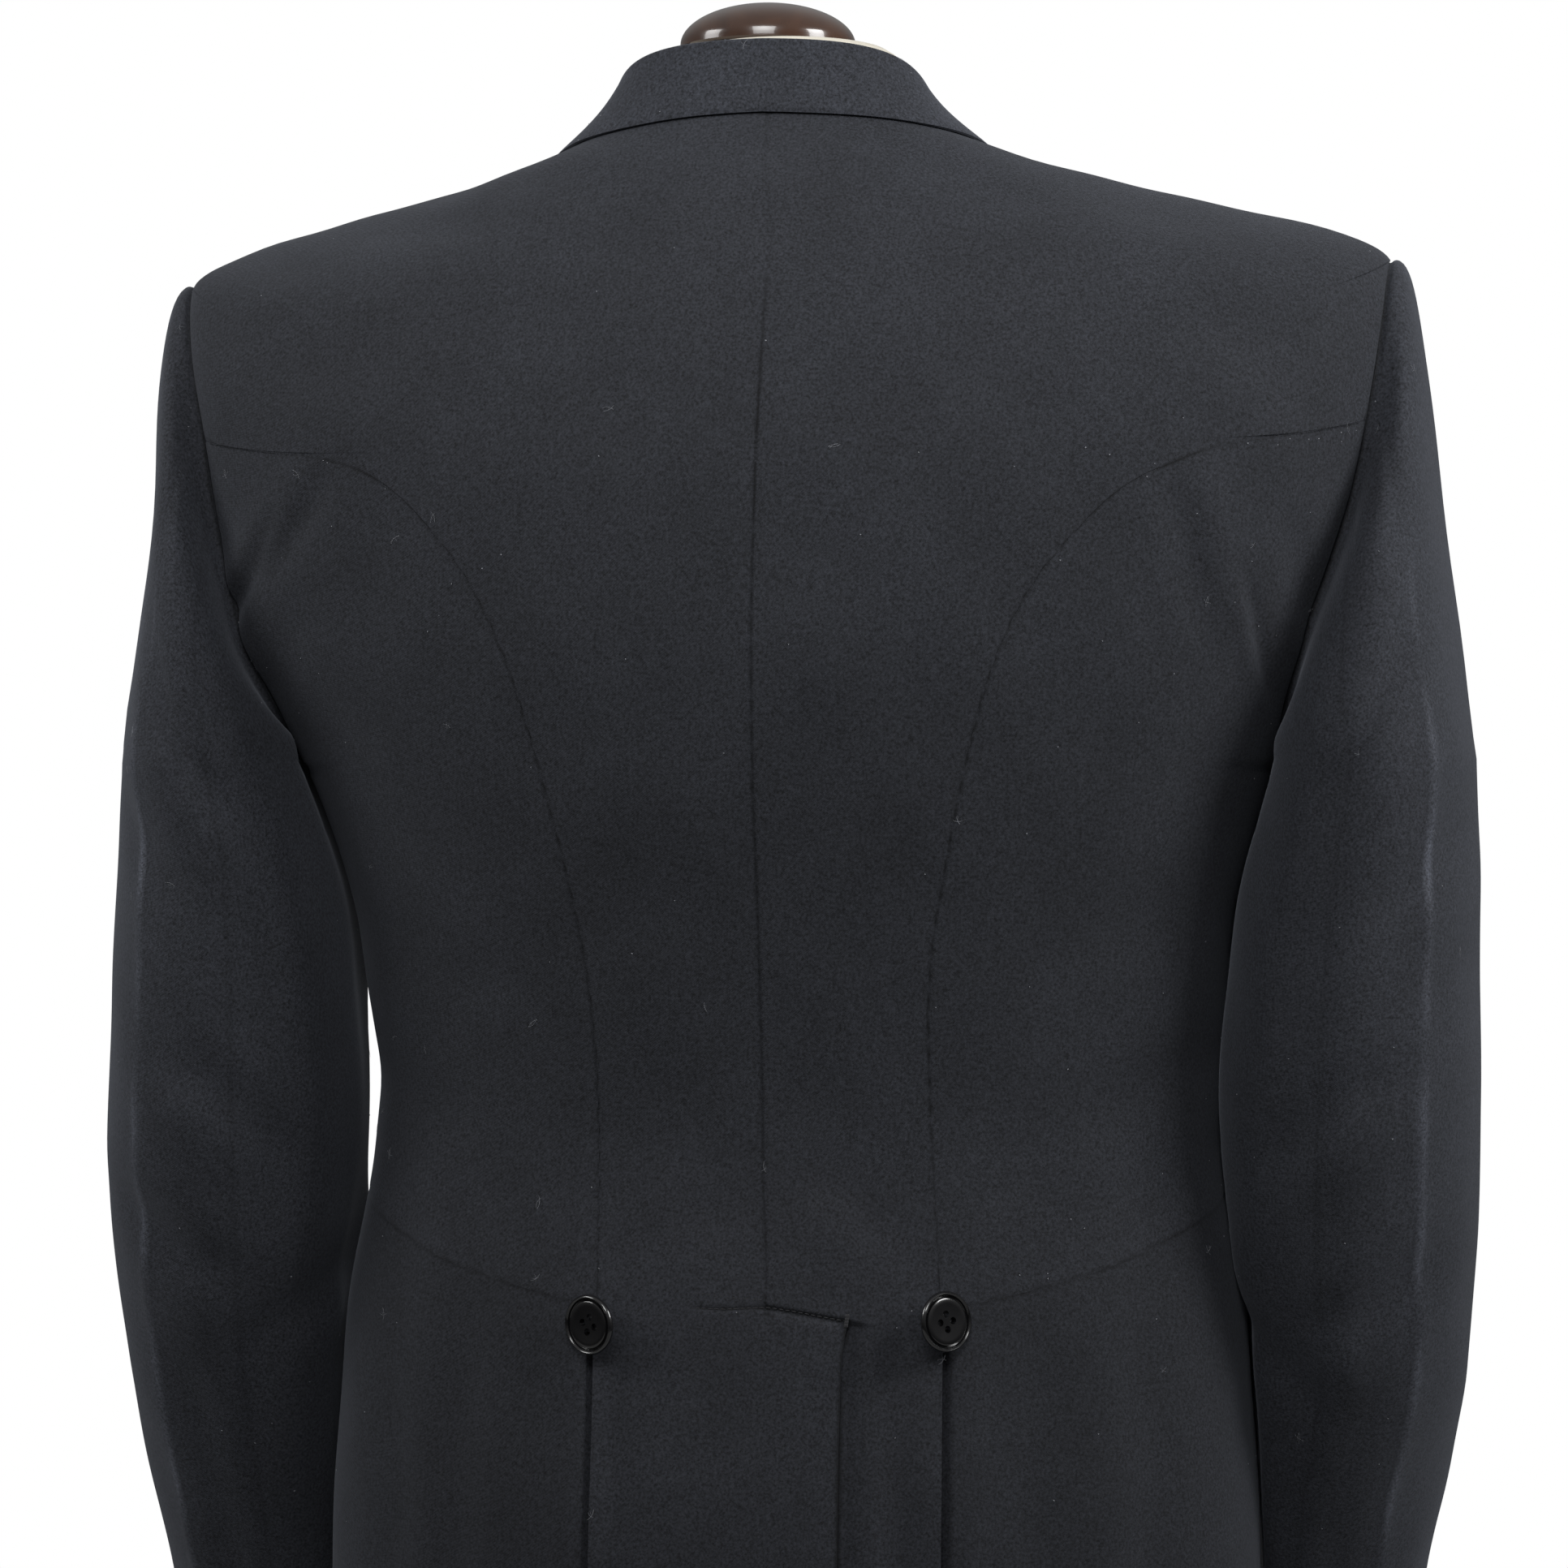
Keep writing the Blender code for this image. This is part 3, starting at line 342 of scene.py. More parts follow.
def seam_tree():
    """every seam of the coat's body as close points, to find how far a vertex lies from one"""
    lines = []
    high = spans((WAIST, 1.35, 0.002), (1.35, SIDE_SEAM_TOP, 0.0001))
    centre = spans((VENT_TOP, NECK, 0.002))
    lines.append(coat_point(back_angle(smooth(CENTRE_SEAM, centre), centre), centre))
    under = spans((WAIST, ARMPIT, 0.002))
    hole = spans((ARMPIT, SHOULDER_TIP, 0.001))
    shoulder = spans((SHOULDER_TIP, NECK, 0.002))
    around = np.radians(spans((20.0, 160.0, 0.5)))
    for side in (1, -1):
        lines.append(coat_point(side * side_seam_angle(side, high), high))
        lines.append(coat_point(side * underarm_angle(under), draped_level(under, underarm_angle(under))))
        lines.append(coat_point(side * armhole_angle(hole, -1), hole))
        lines.append(coat_point(side * armhole_angle(hole, 1), hole))
        lines.append(coat_point(np.full_like(shoulder, side * math.radians(ARM_ANGLE)), shoulder))
        lines.append(coat_point(side * around, waist_seam(around)))
    points = np.concatenate(lines)
    tree = KDTree(len(points))
    for k, point in enumerate(points):
        tree.insert(point, k)
    tree.balance()
    return tree


# waist seam: angle round the body in degrees, and level
WAIST_SEAM = ((20.0, 1.034), (40.0, 1.047), (62.0, 1.063), (92.0, 1.074), (126.0, 1.066), (160.0, 1.040))


def waist_seam(angle):
    return smooth(WAIST_SEAM, np.degrees(np.abs(angle)))


def underarm_angle(level):
    """the seam under the arm leans back towards the waist"""
    drop = np.clip((ARMPIT - level) / (ARMPIT - WAIST), 0.0, 1.0)
    return np.radians(ARM_ANGLE - 8.0 * drop)


def draped_level(levels, angle):
    """bend the rows near the waist to the waist seam, which rises round the side"""
    share = np.clip((1.21 - levels) / (1.21 - WAIST), 0.0, 1.0)
    return levels + (waist_seam(angle) - WAIST) * share


SEAMS = seam_tree()


def seam_gap(points):
    """how far each point lies from the nearest seam"""
    flat = points.reshape(-1, 3)
    return np.array([SEAMS.find(point)[2] for point in flat]).reshape(points.shape[:-1])


def seam_strength(points, level):
    """how plainly a seam shows in its groove and its painted shade: less at the neck and where the curved seams reach
    the armholes
    """
    x = np.abs(points[..., 0])
    neck = 0.65 * ease(1.37, 1.44, level) * (1.0 - ease(0.015, 0.03, x))
    hole = 0.72 * ease(0.148, 0.176, x) * (1.0 - ease(0.212, 0.219, x)) * ease(1.33, 1.34, level) * ease(1.38, 1.37, level)
    waist = 0.30 * ease(1.12, 1.08, level) * ease(0.03, 0.04, x)
    return 1.0 - neck - hole - waist


def groove(gap):
    """how far the cloth sinks towards a seam"""
    return -GROOVE_DEPTH * np.exp(-((gap / GROOVE_WIDTH) ** 2))


def lean(points):
    """the shoulders: one hangs a little lower, and both are a little wider than their plain form"""
    moved = points.copy()
    moved[..., 2] -= SHOULDER_LEAN * points[..., 0] * ease(1.15, 1.40, points[..., 2])
    spread = np.where(points[..., 0] > 0.0, *SHOULDER_SPREAD)
    moved[..., 0] *= 1.0 + spread * ease(1.33, 1.42, points[..., 2]) * ease(0.10, 0.21, np.abs(points[..., 0]))
    blade = np.exp(-(((points[..., 0] - 0.224) / 0.016) ** 2) - ((points[..., 2] - 1.335) / 0.036) ** 2)
    hole = np.exp(-(((points[..., 0] - 0.205) / 0.026) ** 2) - ((points[..., 2] - 1.284) / 0.042) ** 2)
    moved[..., 0] += (BLADE_SPREAD * blade + HOLE_SPREAD * hole) * ease(0.0, 0.03, points[..., 1])
    moved[..., 0] += NECK_LEAN * ease(1.43, 1.475, points[..., 2])
    return moved


def pinch(points):
    """the waist is drawn in a little more on the wearer's left"""
    moved = points.copy()
    pull = WAIST_PINCH * np.exp(-(((points[..., 2] - 1.110) / 0.036) ** 2))
    moved[..., 0] -= pull * ease(0.05, 0.17, points[..., 0])
    return moved


def plain(material, colour, roughness, **more):
    """set a material's own Principled values"""
    shader = material.node_tree.nodes["Principled BSDF"]
    shader.inputs["Base Color"].default_value = (*colour, 1.0)
    shader.inputs["Roughness"].default_value = roughness
    for name, value in more.items():
        shader.inputs[name.replace("_", " ")].default_value = value
    return shader


def new_material(name):
    material = bpy.data.materials.new(name)
    material.use_nodes = True
    return material


def link(material, out_node, out_name, in_node, in_name):
    material.node_tree.links.new(out_node.outputs[out_name], in_node.inputs[in_name])


def add_node(material, kind, **settings):
    """a shader node with its plain settings and socket values"""
    node = material.node_tree.nodes.new(kind)
    for name, value in settings.items():
        if hasattr(node, name):
            setattr(node, name, value)
        else:
            node.inputs[name.replace("_", " ")].default_value = value
    return node


def wool_material(name, colour, lift=1.0):
    """matt worsted: a fine weave, soft cloudiness and a bloom of short fibres, with painted shade along its seams and a
    painted highlight along pressed creases
    """
    material = new_material(name)
    shader = plain(material, colour, 0.86, Sheen_Weight=0.11 * lift, Sheen_Roughness=0.45)
    shader.inputs["Sheen Tint"].default_value = (0.80, 0.86, 1.0, 1.0)
    shader.inputs["Specular IOR Level"].default_value = 0.30
    place = add_node(material, "ShaderNodeTexCoord")
    cloud = add_node(material, "ShaderNodeTexNoise", Scale=26.0, Detail=6.0, Roughness=0.66)
    grain = add_node(material, "ShaderNodeTexNoise", Scale=950.0, Detail=3.0, Roughness=0.7)
    twill = add_node(material, "ShaderNodeTexWave", Scale=620.0, Distortion=2.0, Detail=1.0)
    twill.wave_type = "BANDS"
    twill.bands_direction = "DIAGONAL"
    cloud_range = add_node(material, "ShaderNodeMapRange", From_Min=0.30, From_Max=0.70, To_Min=0.86, To_Max=1.14)
    grain_range = add_node(material, "ShaderNodeMapRange", From_Min=0.30, From_Max=0.70, To_Min=0.25, To_Max=1.90)
    both = add_node(material, "ShaderNodeMath", operation="MULTIPLY")
    tint = add_node(material, "ShaderNodeVectorMath", operation="SCALE")
    tint.inputs[0].default_value = colour
    weave = add_node(material, "ShaderNodeMath", operation="ADD")
    bump = add_node(material, "ShaderNodeBump", Strength=0.30, Distance=0.00012)
    # painted shade: the seam mark darkens the base colour by up to 82 percent along seams and edges
    seam = add_node(material, "ShaderNodeAttribute", attribute_name="seam")
    shade = add_node(material, "ShaderNodeMath", operation="MULTIPLY_ADD")
    shade.inputs[1].default_value = -0.82
    shade.inputs[2].default_value = 1.0
    # crease mark: smoother cloth along pressed creases, and a painted highlight that lifts the base colour up to 3.2
    # times
    shine = add_node(material, "ShaderNodeAttribute", attribute_name="shine")
    polished = add_node(material, "ShaderNodeMath", operation="MULTIPLY_ADD")
    polished.inputs[1].default_value = -0.36
    polished.inputs[2].default_value = 0.86
    painted_crease_highlight = add_node(material, "ShaderNodeMath", operation="MULTIPLY_ADD")
    painted_crease_highlight.inputs[1].default_value = 2.2
    painted_crease_highlight.inputs[2].default_value = 1.0
    lit = add_node(material, "ShaderNodeMath", operation="MULTIPLY")
    tone = add_node(material, "ShaderNodeMath", operation="MULTIPLY")
    link(material, seam, "Fac", shade, "Value")
    link(material, shine, "Fac", polished, "Value")
    link(material, shine, "Fac", painted_crease_highlight, "Value")
    link(material, polished, "Value", shader, "Roughness")
    for texture in (cloud, grain, twill):
        link(material, place, "Object", texture, "Vector")
    link(material, cloud, "Fac", cloud_range, "Value")
    link(material, grain, "Fac", grain_range, "Value")
    material.node_tree.links.new(cloud_range.outputs[0], both.inputs[0])
    material.node_tree.links.new(grain_range.outputs[0], both.inputs[1])
    material.node_tree.links.new(shade.outputs[0], lit.inputs[0])
    material.node_tree.links.new(painted_crease_highlight.outputs[0], lit.inputs[1])
    material.node_tree.links.new(both.outputs[0], tone.inputs[0])
    material.node_tree.links.new(lit.outputs[0], tone.inputs[1])
    material.node_tree.links.new(tone.outputs[0], tint.inputs["Scale"])
    link(material, tint, "Vector", shader, "Base Color")
    material.node_tree.links.new(grain.outputs["Fac"], weave.inputs[0])
    material.node_tree.links.new(twill.outputs["Fac"], weave.inputs[1])
    material.node_tree.links.new(weave.outputs[0], bump.inputs["Height"])
    link(material, bump, "Normal", shader, "Normal")
    return material


WOOL = (0.0185, 0.0200, 0.0250)
back_wool = wool_material("back wool", WOOL)


def shell(name, outer, inner, facing, material, uv, keep=None, **marks):
    """a thin cloth of two matching grids of points, joined all round the edge of the kept faces.
    facing gives the outer normals, and marks are numbers for the material at each point"""
    rows, columns = outer.shape[:2]
    index = np.arange(rows * columns).reshape(rows, columns)
    quads = np.stack([index[:-1, :-1], index[1:, :-1], index[1:, 1:], index[:-1, 1:]], axis=-1)
    quads = quads.reshape(-1, 4) if keep is None else quads[keep]
    used, quads = np.unique(quads, return_inverse=True)
    quads = quads.reshape(-1, 4)
    out_points = outer.reshape(-1, 3)[used]
    out_facing = unit(facing.reshape(-1, 3)[used])
    corners = out_points[quads]
    flat = np.cross(corners[:, 2] - corners[:, 0], corners[:, 3] - corners[:, 1])
    if np.sum(flat * out_facing[quads[:, 0]]) < 0.0:
        quads = quads[:, ::-1]
    count = len(used)
    edges = np.concatenate([quads[:, [a, (a + 1) % 4]] for a in range(4)])
    _, first, times = np.unique(np.sort(edges, axis=1), axis=0, return_index=True, return_counts=True)
    rim = edges[first[times == 1]]
    rims = np.stack([rim[:, 1], rim[:, 0], rim[:, 0] + count, rim[:, 1] + count], axis=-1)
    faces = np.concatenate([quads, quads[:, ::-1] + count, rims])
    points = np.concatenate([out_points, inner.reshape(-1, 3)[used]])
    mesh = bpy.data.meshes.new(name)
    mesh.from_pydata(points.tolist(), [], faces.tolist())
    loops = faces.reshape(-1)
    layer = mesh.uv_layers.new(name="cloth")
    layer.data.foreach_set("uv", uv.reshape(-1, 2)[used][loops % count].ravel())
    for mark, values in marks.items():
        attribute = mesh.attributes.new(mark, "FLOAT", "POINT")
        attribute.data.foreach_set("value", np.tile(values.reshape(-1)[used], 2))
    edge_corners = points[rims]
    edge_facing = unit(np.cross(edge_corners[:, 2] - edge_corners[:, 0], edge_corners[:, 3] - edge_corners[:, 1]))
    normals = np.concatenate([
        out_facing[quads].reshape(-1, 3), -out_facing[quads[:, ::-1]].reshape(-1, 3), np.repeat(edge_facing, 4, axis=0),
    ])
    mesh.shade_smooth()
    mesh.normals_split_custom_set(normals.tolist())
    mesh.materials.append(material)
    item = bpy.data.objects.new(name, mesh)
    bpy.context.collection.objects.link(item)
    return item


def cloth_map(points):
    """lengths along the cloth in metres, down and across its middle lines"""
    across = np.linalg.norm(np.diff(points, axis=1), axis=-1)
    down = np.linalg.norm(np.diff(points, axis=0), axis=-1)
    u = np.concatenate([np.zeros((points.shape[0], 1)), np.cumsum(across, axis=1)], axis=1)
    v = np.concatenate([np.zeros((1, points.shape[1])), np.cumsum(down, axis=0)], axis=0)
    middle = points.shape[1] // 2
    return np.stack([u - u[:, middle:middle + 1], np.repeat(v[:, middle:middle + 1], points.shape[1], 1)], -1)


def coat_panel(name, angle, level, material, depth=None, keep=None, seams=True):
    """a piece of the coat's body, with its seams sunk and its folds raised; depth is a function
    of the place that lifts the piece off the coat's surface"""
    ground = coat_point(angle, level)
    gap = seam_gap(ground) if seams else np.full(angle.shape, 1.0)
    strength = seam_strength(ground, level)
    sewn = np.cos(angle) > 0.5

    def skin(turn, height, near):
        points = coat_point(turn, height)
        relief = body_relief(points, turn, height) + groove(near) * strength
        relief = relief - 0.0004 * np.exp(-((vent_gap(points, height) / 0.0009) ** 2)) * sewn
        if depth is not None:
            relief = relief + depth(turn, height)
        return points, coat_normal(turn, height), relief

    def laid(turn, height, near, under=0.0):
        points, normals, relief = skin(turn, height, near)
        return pinch(lean(points + normals * (relief - under)[..., None]))

    outer = laid(angle, level, gap)
    inner = laid(angle, level, gap, CLOTH)
    step_a = 0.0020
    step_l = 0.0006
    round_it = laid(angle + step_a, level, gap) - laid(angle - step_a, level, gap)
    up_it = laid(angle, level + step_l, gap) - laid(angle, level - step_l, gap)
    facing = unit(np.cross(up_it, round_it))
    # painted shade along the seams, the sewn line across the head of the vent and the edge of the lap below it
    seam = np.exp(-((gap / SEAM_SHADE_WIDTH) ** 2)) * strength
    seam = np.maximum(seam, 0.80 * np.exp(-((vent_gap(ground, level) / 0.0006) ** 2)) * sewn)
    edge_gap = (ground[..., 0] + smooth(VENT_EDGE, level)) / 0.0006
    seam = np.maximum(seam, np.exp(-(edge_gap ** 2)) * sewn * (level < VENT_TOP - 0.002))
    return shell(name, outer, inner, facing, material, cloth_map(outer), keep, seam=seam)


# x and level of the line that is sewn across the head of the vent
VENT_LINE = (
    (0.0262, 1.0353), (0.0159, 1.0350), (0.0040, 1.0357), (-0.0004, 1.0359), (-0.0094, 1.0347),
    (-0.0200, 1.0328), (-0.0295, 1.0312),
)


def vent_gap(points, level):
    """distance from the line that is sewn across the head of the vent"""
    gap = np.full(level.shape, 1.0)
    for (x0, l0), (x1, l1) in zip(VENT_LINE, VENT_LINE[1:]):
        run = np.array([x1 - x0, l1 - l0])
        t = ((points[..., 0] - x0) * run[0] + (level - l0) * run[1]) / (run @ run)
        t = np.clip(t, 0.0, 1.0)
        gap = np.minimum(gap, np.hypot(points[..., 0] - x0 - t * run[0], level - l0 - t * run[1]))
    return gap


def declare(item, node):
    """attach a finished piece to the root body and hide the solid part that it stands in for"""
    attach(item, "root")
    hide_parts(node)


BACK_LEVELS = spans(
    (HEM, 0.60, 0.008), (0.60, 1.016, 0.006), (1.016, 1.030, 0.002), (1.030, VENT_TOP, 0.0005),
    (VENT_TOP, 1.038, 0.0006), (1.038, 1.050, 0.002), (1.050, 1.330, 0.005), (1.330, 1.350, 0.002),
    (1.350, 1.358, 0.0007), (1.358, SIDE_SEAM_TOP, 0.00025), (SIDE_SEAM_TOP, 1.372, 0.002),
    (1.372, 1.424, 0.004), (1.424, SHOULDER_TIP, 0.0015), (SHOULDER_TIP, 1.450, 0.003), (1.450, NECK, 0.005),
)


def make_back(side):
    """one back with its tail: the left tail has a lap, the right one an underlap that sinks below it"""
    levels = BACK_LEVELS
    centre = back_angle(smooth(CENTRE_SEAM, levels), levels)
    outer_edge = side * back_edge(side, levels)
    angle, level = panel_grid(levels, centre, outer_edge, 30)
    if side > 0:
        lap = -smooth(VENT_EDGE, levels)
    else:
        lap = np.full_like(levels, VENT_UNDERLAP)
    lap_angle = back_angle(lap, levels)
    flap_share = np.array([0.0, 0.018, 0.05, 0.11, 0.22, 0.36, 0.52, 0.68, 0.84])
    flap = lap_angle[:, None] + (centre - lap_angle)[:, None] * flap_share
    angle = np.concatenate([flap, angle], axis=1)
    level = np.repeat(levels[:, None], angle.shape[1], axis=1)
    flap_columns = len(flap_share)
    x = coat_point(angle, level)[..., 0]
    slope = (0.0025 + 0.164 * x) * ease(0.012, 0.0, x) * ease(-0.06, -0.034, x)
    level = level + slope * np.exp(-(((level - VENT_TOP) / 0.006) ** 2))
    keep = np.ones((len(levels) - 1, angle.shape[1] - 1), dtype=bool)
    top = levels[1:] > VENT_TOP + 1e-6
    keep[top, :flap_columns] = False
    name = "back-left" if side > 0 else "back-right"
    return coat_panel(name, angle, level, back_wool, lap_depth if side > 0 else underlap_depth, keep)


def lap_depth(angle, level):
    """the head of the lap is sewn down, so its edge sinks a little"""
    x = coat_point(angle, level)[..., 0]
    head = VENT_TOP + 0.0025 + 0.164 * x
    return -0.0009 * ease(0.004, 0.0, head - level) * ease(0.004, -0.004, x) * ease(head + 0.004, head, level)


def underlap_depth(angle, level):
    """the right tail sinks by a layer under the lap of the left one"""
    x = coat_point(angle, level)[..., 0]
    head = VENT_TOP + 0.0025 + 0.164 * x
    return -0.0022 * ease(-0.0415, -0.0305, x) * ease(0.0008, -0.0012, level - head)


for side, node in ((1, "back_left"), (-1, "back_right")):
    back = make_back(side)
    declare(back, node)

# The two side bodies
# Shaped worsted pieces under the arm, between the curved back seam and the forepart, cut with
# a seam allowance that is pressed open, so each seam is a fine sunk line in the cloth, with painted shade.
side_wool = wool_material("side body wool", WOOL)
SIDE_LEVELS = spans(
    (WAIST, 1.050, 0.002), (1.050, 1.240, 0.005), (1.240, 1.350, 0.003), (1.350, 1.358, 0.0007),
    (1.358, SIDE_SEAM_TOP - 0.0002, 0.00025),
)


def make_side_body(side):
    levels = SIDE_LEVELS
    low = side * side_seam_angle(side, levels)
    high = side * np.where(levels > ARMPIT, armhole_angle(levels, -1), underarm_angle(levels))
    angle, level = panel_grid(levels, low, high, 34)
    level = draped_level(level, angle)
    name = "side-body-left" if side > 0 else "side-body-right"
    return coat_panel(name, angle, level, side_wool)


for side, node in ((1, "side_body_left"), (-1, "side_body_right")):
    declare(make_side_body(side), node)

# The two foreparts
# Worsted fronts with a free edge, cut off at the waist; a coat of this kind isn't closed.
fore_wool = wool_material("forepart wool", WOOL)
# level and distance from the centre of the front
FRONT_EDGE = (
    (1.034, 0.074), (1.100, 0.064), (1.180, 0.062), (1.290, 0.064), (1.390, 0.068),
    (1.450, 0.0705), (1.500, 0.072), (1.550, 0.0725), (1.580, 0.0715),
)
FORE_LEVELS = spans(
    (WAIST, 1.050, 0.002), (1.050, 1.424, 0.005), (1.424, SHOULDER_TIP, 0.0015), (SHOULDER_TIP, NECK, 0.005),
)


def front_angle(x, level):
    return math.pi - back_angle(x, level)


def roll_angle(level):
    return front_angle(smooth(FRONT_EDGE, level), level)


def make_forepart(side):
    levels = FORE_LEVELS
    low = np.where(levels > ARMPIT, armhole_angle(levels, 1), underarm_angle(levels))
    low = np.where(levels >= SHOULDER_TIP, math.radians(ARM_ANGLE), low)
    angle, level = panel_grid(levels, side * low, side * roll_angle(levels), 40)
    level = draped_level(level, angle)
    name = "forepart-left" if side > 0 else "forepart-right"
    return coat_panel(name, angle, level, fore_wool)


for side, node in ((1, "forepart_left"), (-1, "forepart_right")):
    declare(make_forepart(side), node)

# The two skirts
# Worsted, hung from the waist seam and cut away in front; the back edge is pressed into a
# pleat that tucks in under the tail.
# painted shade: the skirts' cloth is the backs' worsted painted 0.88 times as light, for the dimmer light low on the
# coat
skirt_wool_painted_darker = wool_material("skirt wool", tuple(0.88 * part for part in WOOL))
# share of the drop and degrees that the front edge is swept back
SKIRT_FRONT = ((0.0, 0.0), (0.12, 12.0), (0.35, 36.0), (0.70, 56.0), (1.0, 67.0))
CUTAWAY_DEGREES = 125.0
PLEAT_TUCK = 0.016
PLEAT_STEP = 0.0050
PLEAT_DEPTH = 0.0027


def make_skirt(side):
    drop = spans((0.0, 0.03, 0.0025), (0.03, 1.0, 0.012))[::-1]
    start = np.interp(drop, (0.0, 0.012, 0.035), (0.0, 0.0, 1.0))
    fore_start = float(underarm_angle(WAIST))
    top_front = fore_start + 5.0 / 9.0 * (float(roll_angle(WAIST)) - fore_start)
    share = np.concatenate([[0.0, 0.004, 0.010, 0.018], np.linspace(0.03, 0.985, 52), [0.992, 0.997, 1.0]])
    pleat_angle = back_angle(PLEAT_X + 0.0002, WAIST * (1 - drop) + HEM * drop)
    front = top_front - np.radians(smooth(SKIRT_FRONT, drop))
    angle = pleat_angle[:, None] + (front - pleat_angle)[:, None] * share
    level = waist_seam(angle[-1])[None, :] * (1.0 - drop[:, None]) + HEM * drop[:, None]
    tuck_share = np.array([1.0, 0.75, 0.5, 0.25, 0.08])
    tucked = back_angle(PLEAT_X - PLEAT_TUCK * start[:, None] * tuck_share, level[:, :1])
    tucked = np.where(start[:, None] > 0.0, tucked, angle[:, :1] - 1e-4 * tuck_share)
    angle = np.concatenate([tucked, angle], axis=1)
    level = np.concatenate([np.repeat(level[:, :1], len(tuck_share), axis=1), level], axis=1)
    name = "skirt-left" if side > 0 else "skirt-right"
    return coat_panel(name, side * angle, level, skirt_wool_painted_darker, pleat_depth)


def pleat_depth(angle, level):
    """the skirt dips under the tail at the pleat, and rolls up softly beside it"""
    x = np.abs(coat_point(angle, level)[..., 0])
    back_half = np.cos(angle) > 0.0
    drop = np.clip((waist_seam(angle) - level) / (WAIST - HEM), 0.0, 1.0)
    under = (1.0 - ease(PLEAT_X, PLEAT_X + PLEAT_STEP, x)) * back_half
    roll = np.exp(-(((x - PLEAT_X - 0.010) / 0.007) ** 2)) * back_half * 0.0011 * ease(0.002, 0.040, drop)
    return roll - PLEAT_DEPTH * under * ease(0.0, 0.006, drop)


for side, node in ((1, "skirt_left"), (-1, "skirt_right")):
    declare(make_skirt(side), node)

# The four sleeve pieces
# Two-piece worsted sleeves: a wide top piece and a narrow under piece that faces the body,
# with a full head set into the armhole and hard creases pressed down the outside.
# painted light: the sleeves' cloth is the backs' worsted painted 1.3 times lighter, with more sheen
sleeve_wool_painted_lighter = wool_material("sleeve wool", tuple(1.30 * part for part in WOOL), 1.3)
SLEEVE = (
    (1.240, 0.2260, 0.010, 0.0420, 0.0800, 0.0), (1.180, 0.2220, 0.008, 0.0485, 0.0770, 0.0),
    (1.110, 0.2205, 0.004, 0.0525, 0.0745, 0.0), (1.060, 0.2210, -0.004, 0.0520, 0.0720, 4.0),
    (1.000, 0.2210, -0.018, 0.0480, 0.0670, 8.0), (0.930, 0.2155, -0.040, 0.0440, 0.0610, 13.0),
    (0.870, 0.2115, -0.060, 0.0405, 0.0560, 16.0), (0.825, 0.2095, -0.074, 0.0385, 0.0540, 16.0),
)
# height, and how far out of its mirrored place each sleeve swings
SLEEVE_SWING = {
    1: (
        (0.825, 0.0070), (0.93, 0.0060), (1.00, 0.0036), (1.06, 0.0032), (1.12, 0.0014), (1.18, -0.0004),
        (1.24, -0.0014), (1.44, 0.0),
    ),
    -1: (
        (0.825, -0.0070), (0.93, -0.0070), (0.965, -0.0055), (1.00, -0.0042), (1.05, -0.0048),
        (1.10, -0.0045), (1.20, -0.0020), (1.26, -0.0005), (1.44, 0.0),
    ),
}
# height, and how far the cloth in front of the arm bulges towards the body
SLEEVE_PRESS = {
    1: (
        (0.825, 0.0), (1.03, 0.0), (1.06, -0.0050), (1.084, -0.0084), (1.111, -0.0100), (1.126, -0.0092),
        (1.149, -0.0044), (1.168, 0.001),
        (1.20, 0.000), (1.25, -0.002), (1.30, 0.0),
    ),
    -1: (
        (0.825, 0.0), (0.90, 0.0), (0.96, 0.004), (1.02, 0.0095), (1.075, 0.0095), (1.098, 0.0060),
        (1.125, 0.0055), (1.15, 0.0080), (1.24, 0.0080), (1.29, 0.0),
    ),
}
BODY_CLEARANCE = {1: 0.0030, -1: 0.0012}
UNDER_FIRST = 8
ARMHOLE_POINTS = (
    1.4315, 1.428, 1.419, 1.402, 1.382, 1.362, 1.357, 1.347, 1.332, 1.310, 1.285, 1.262, 1.248, 1.240, 1.237,
)
SLEEVE_FINENESS = 4
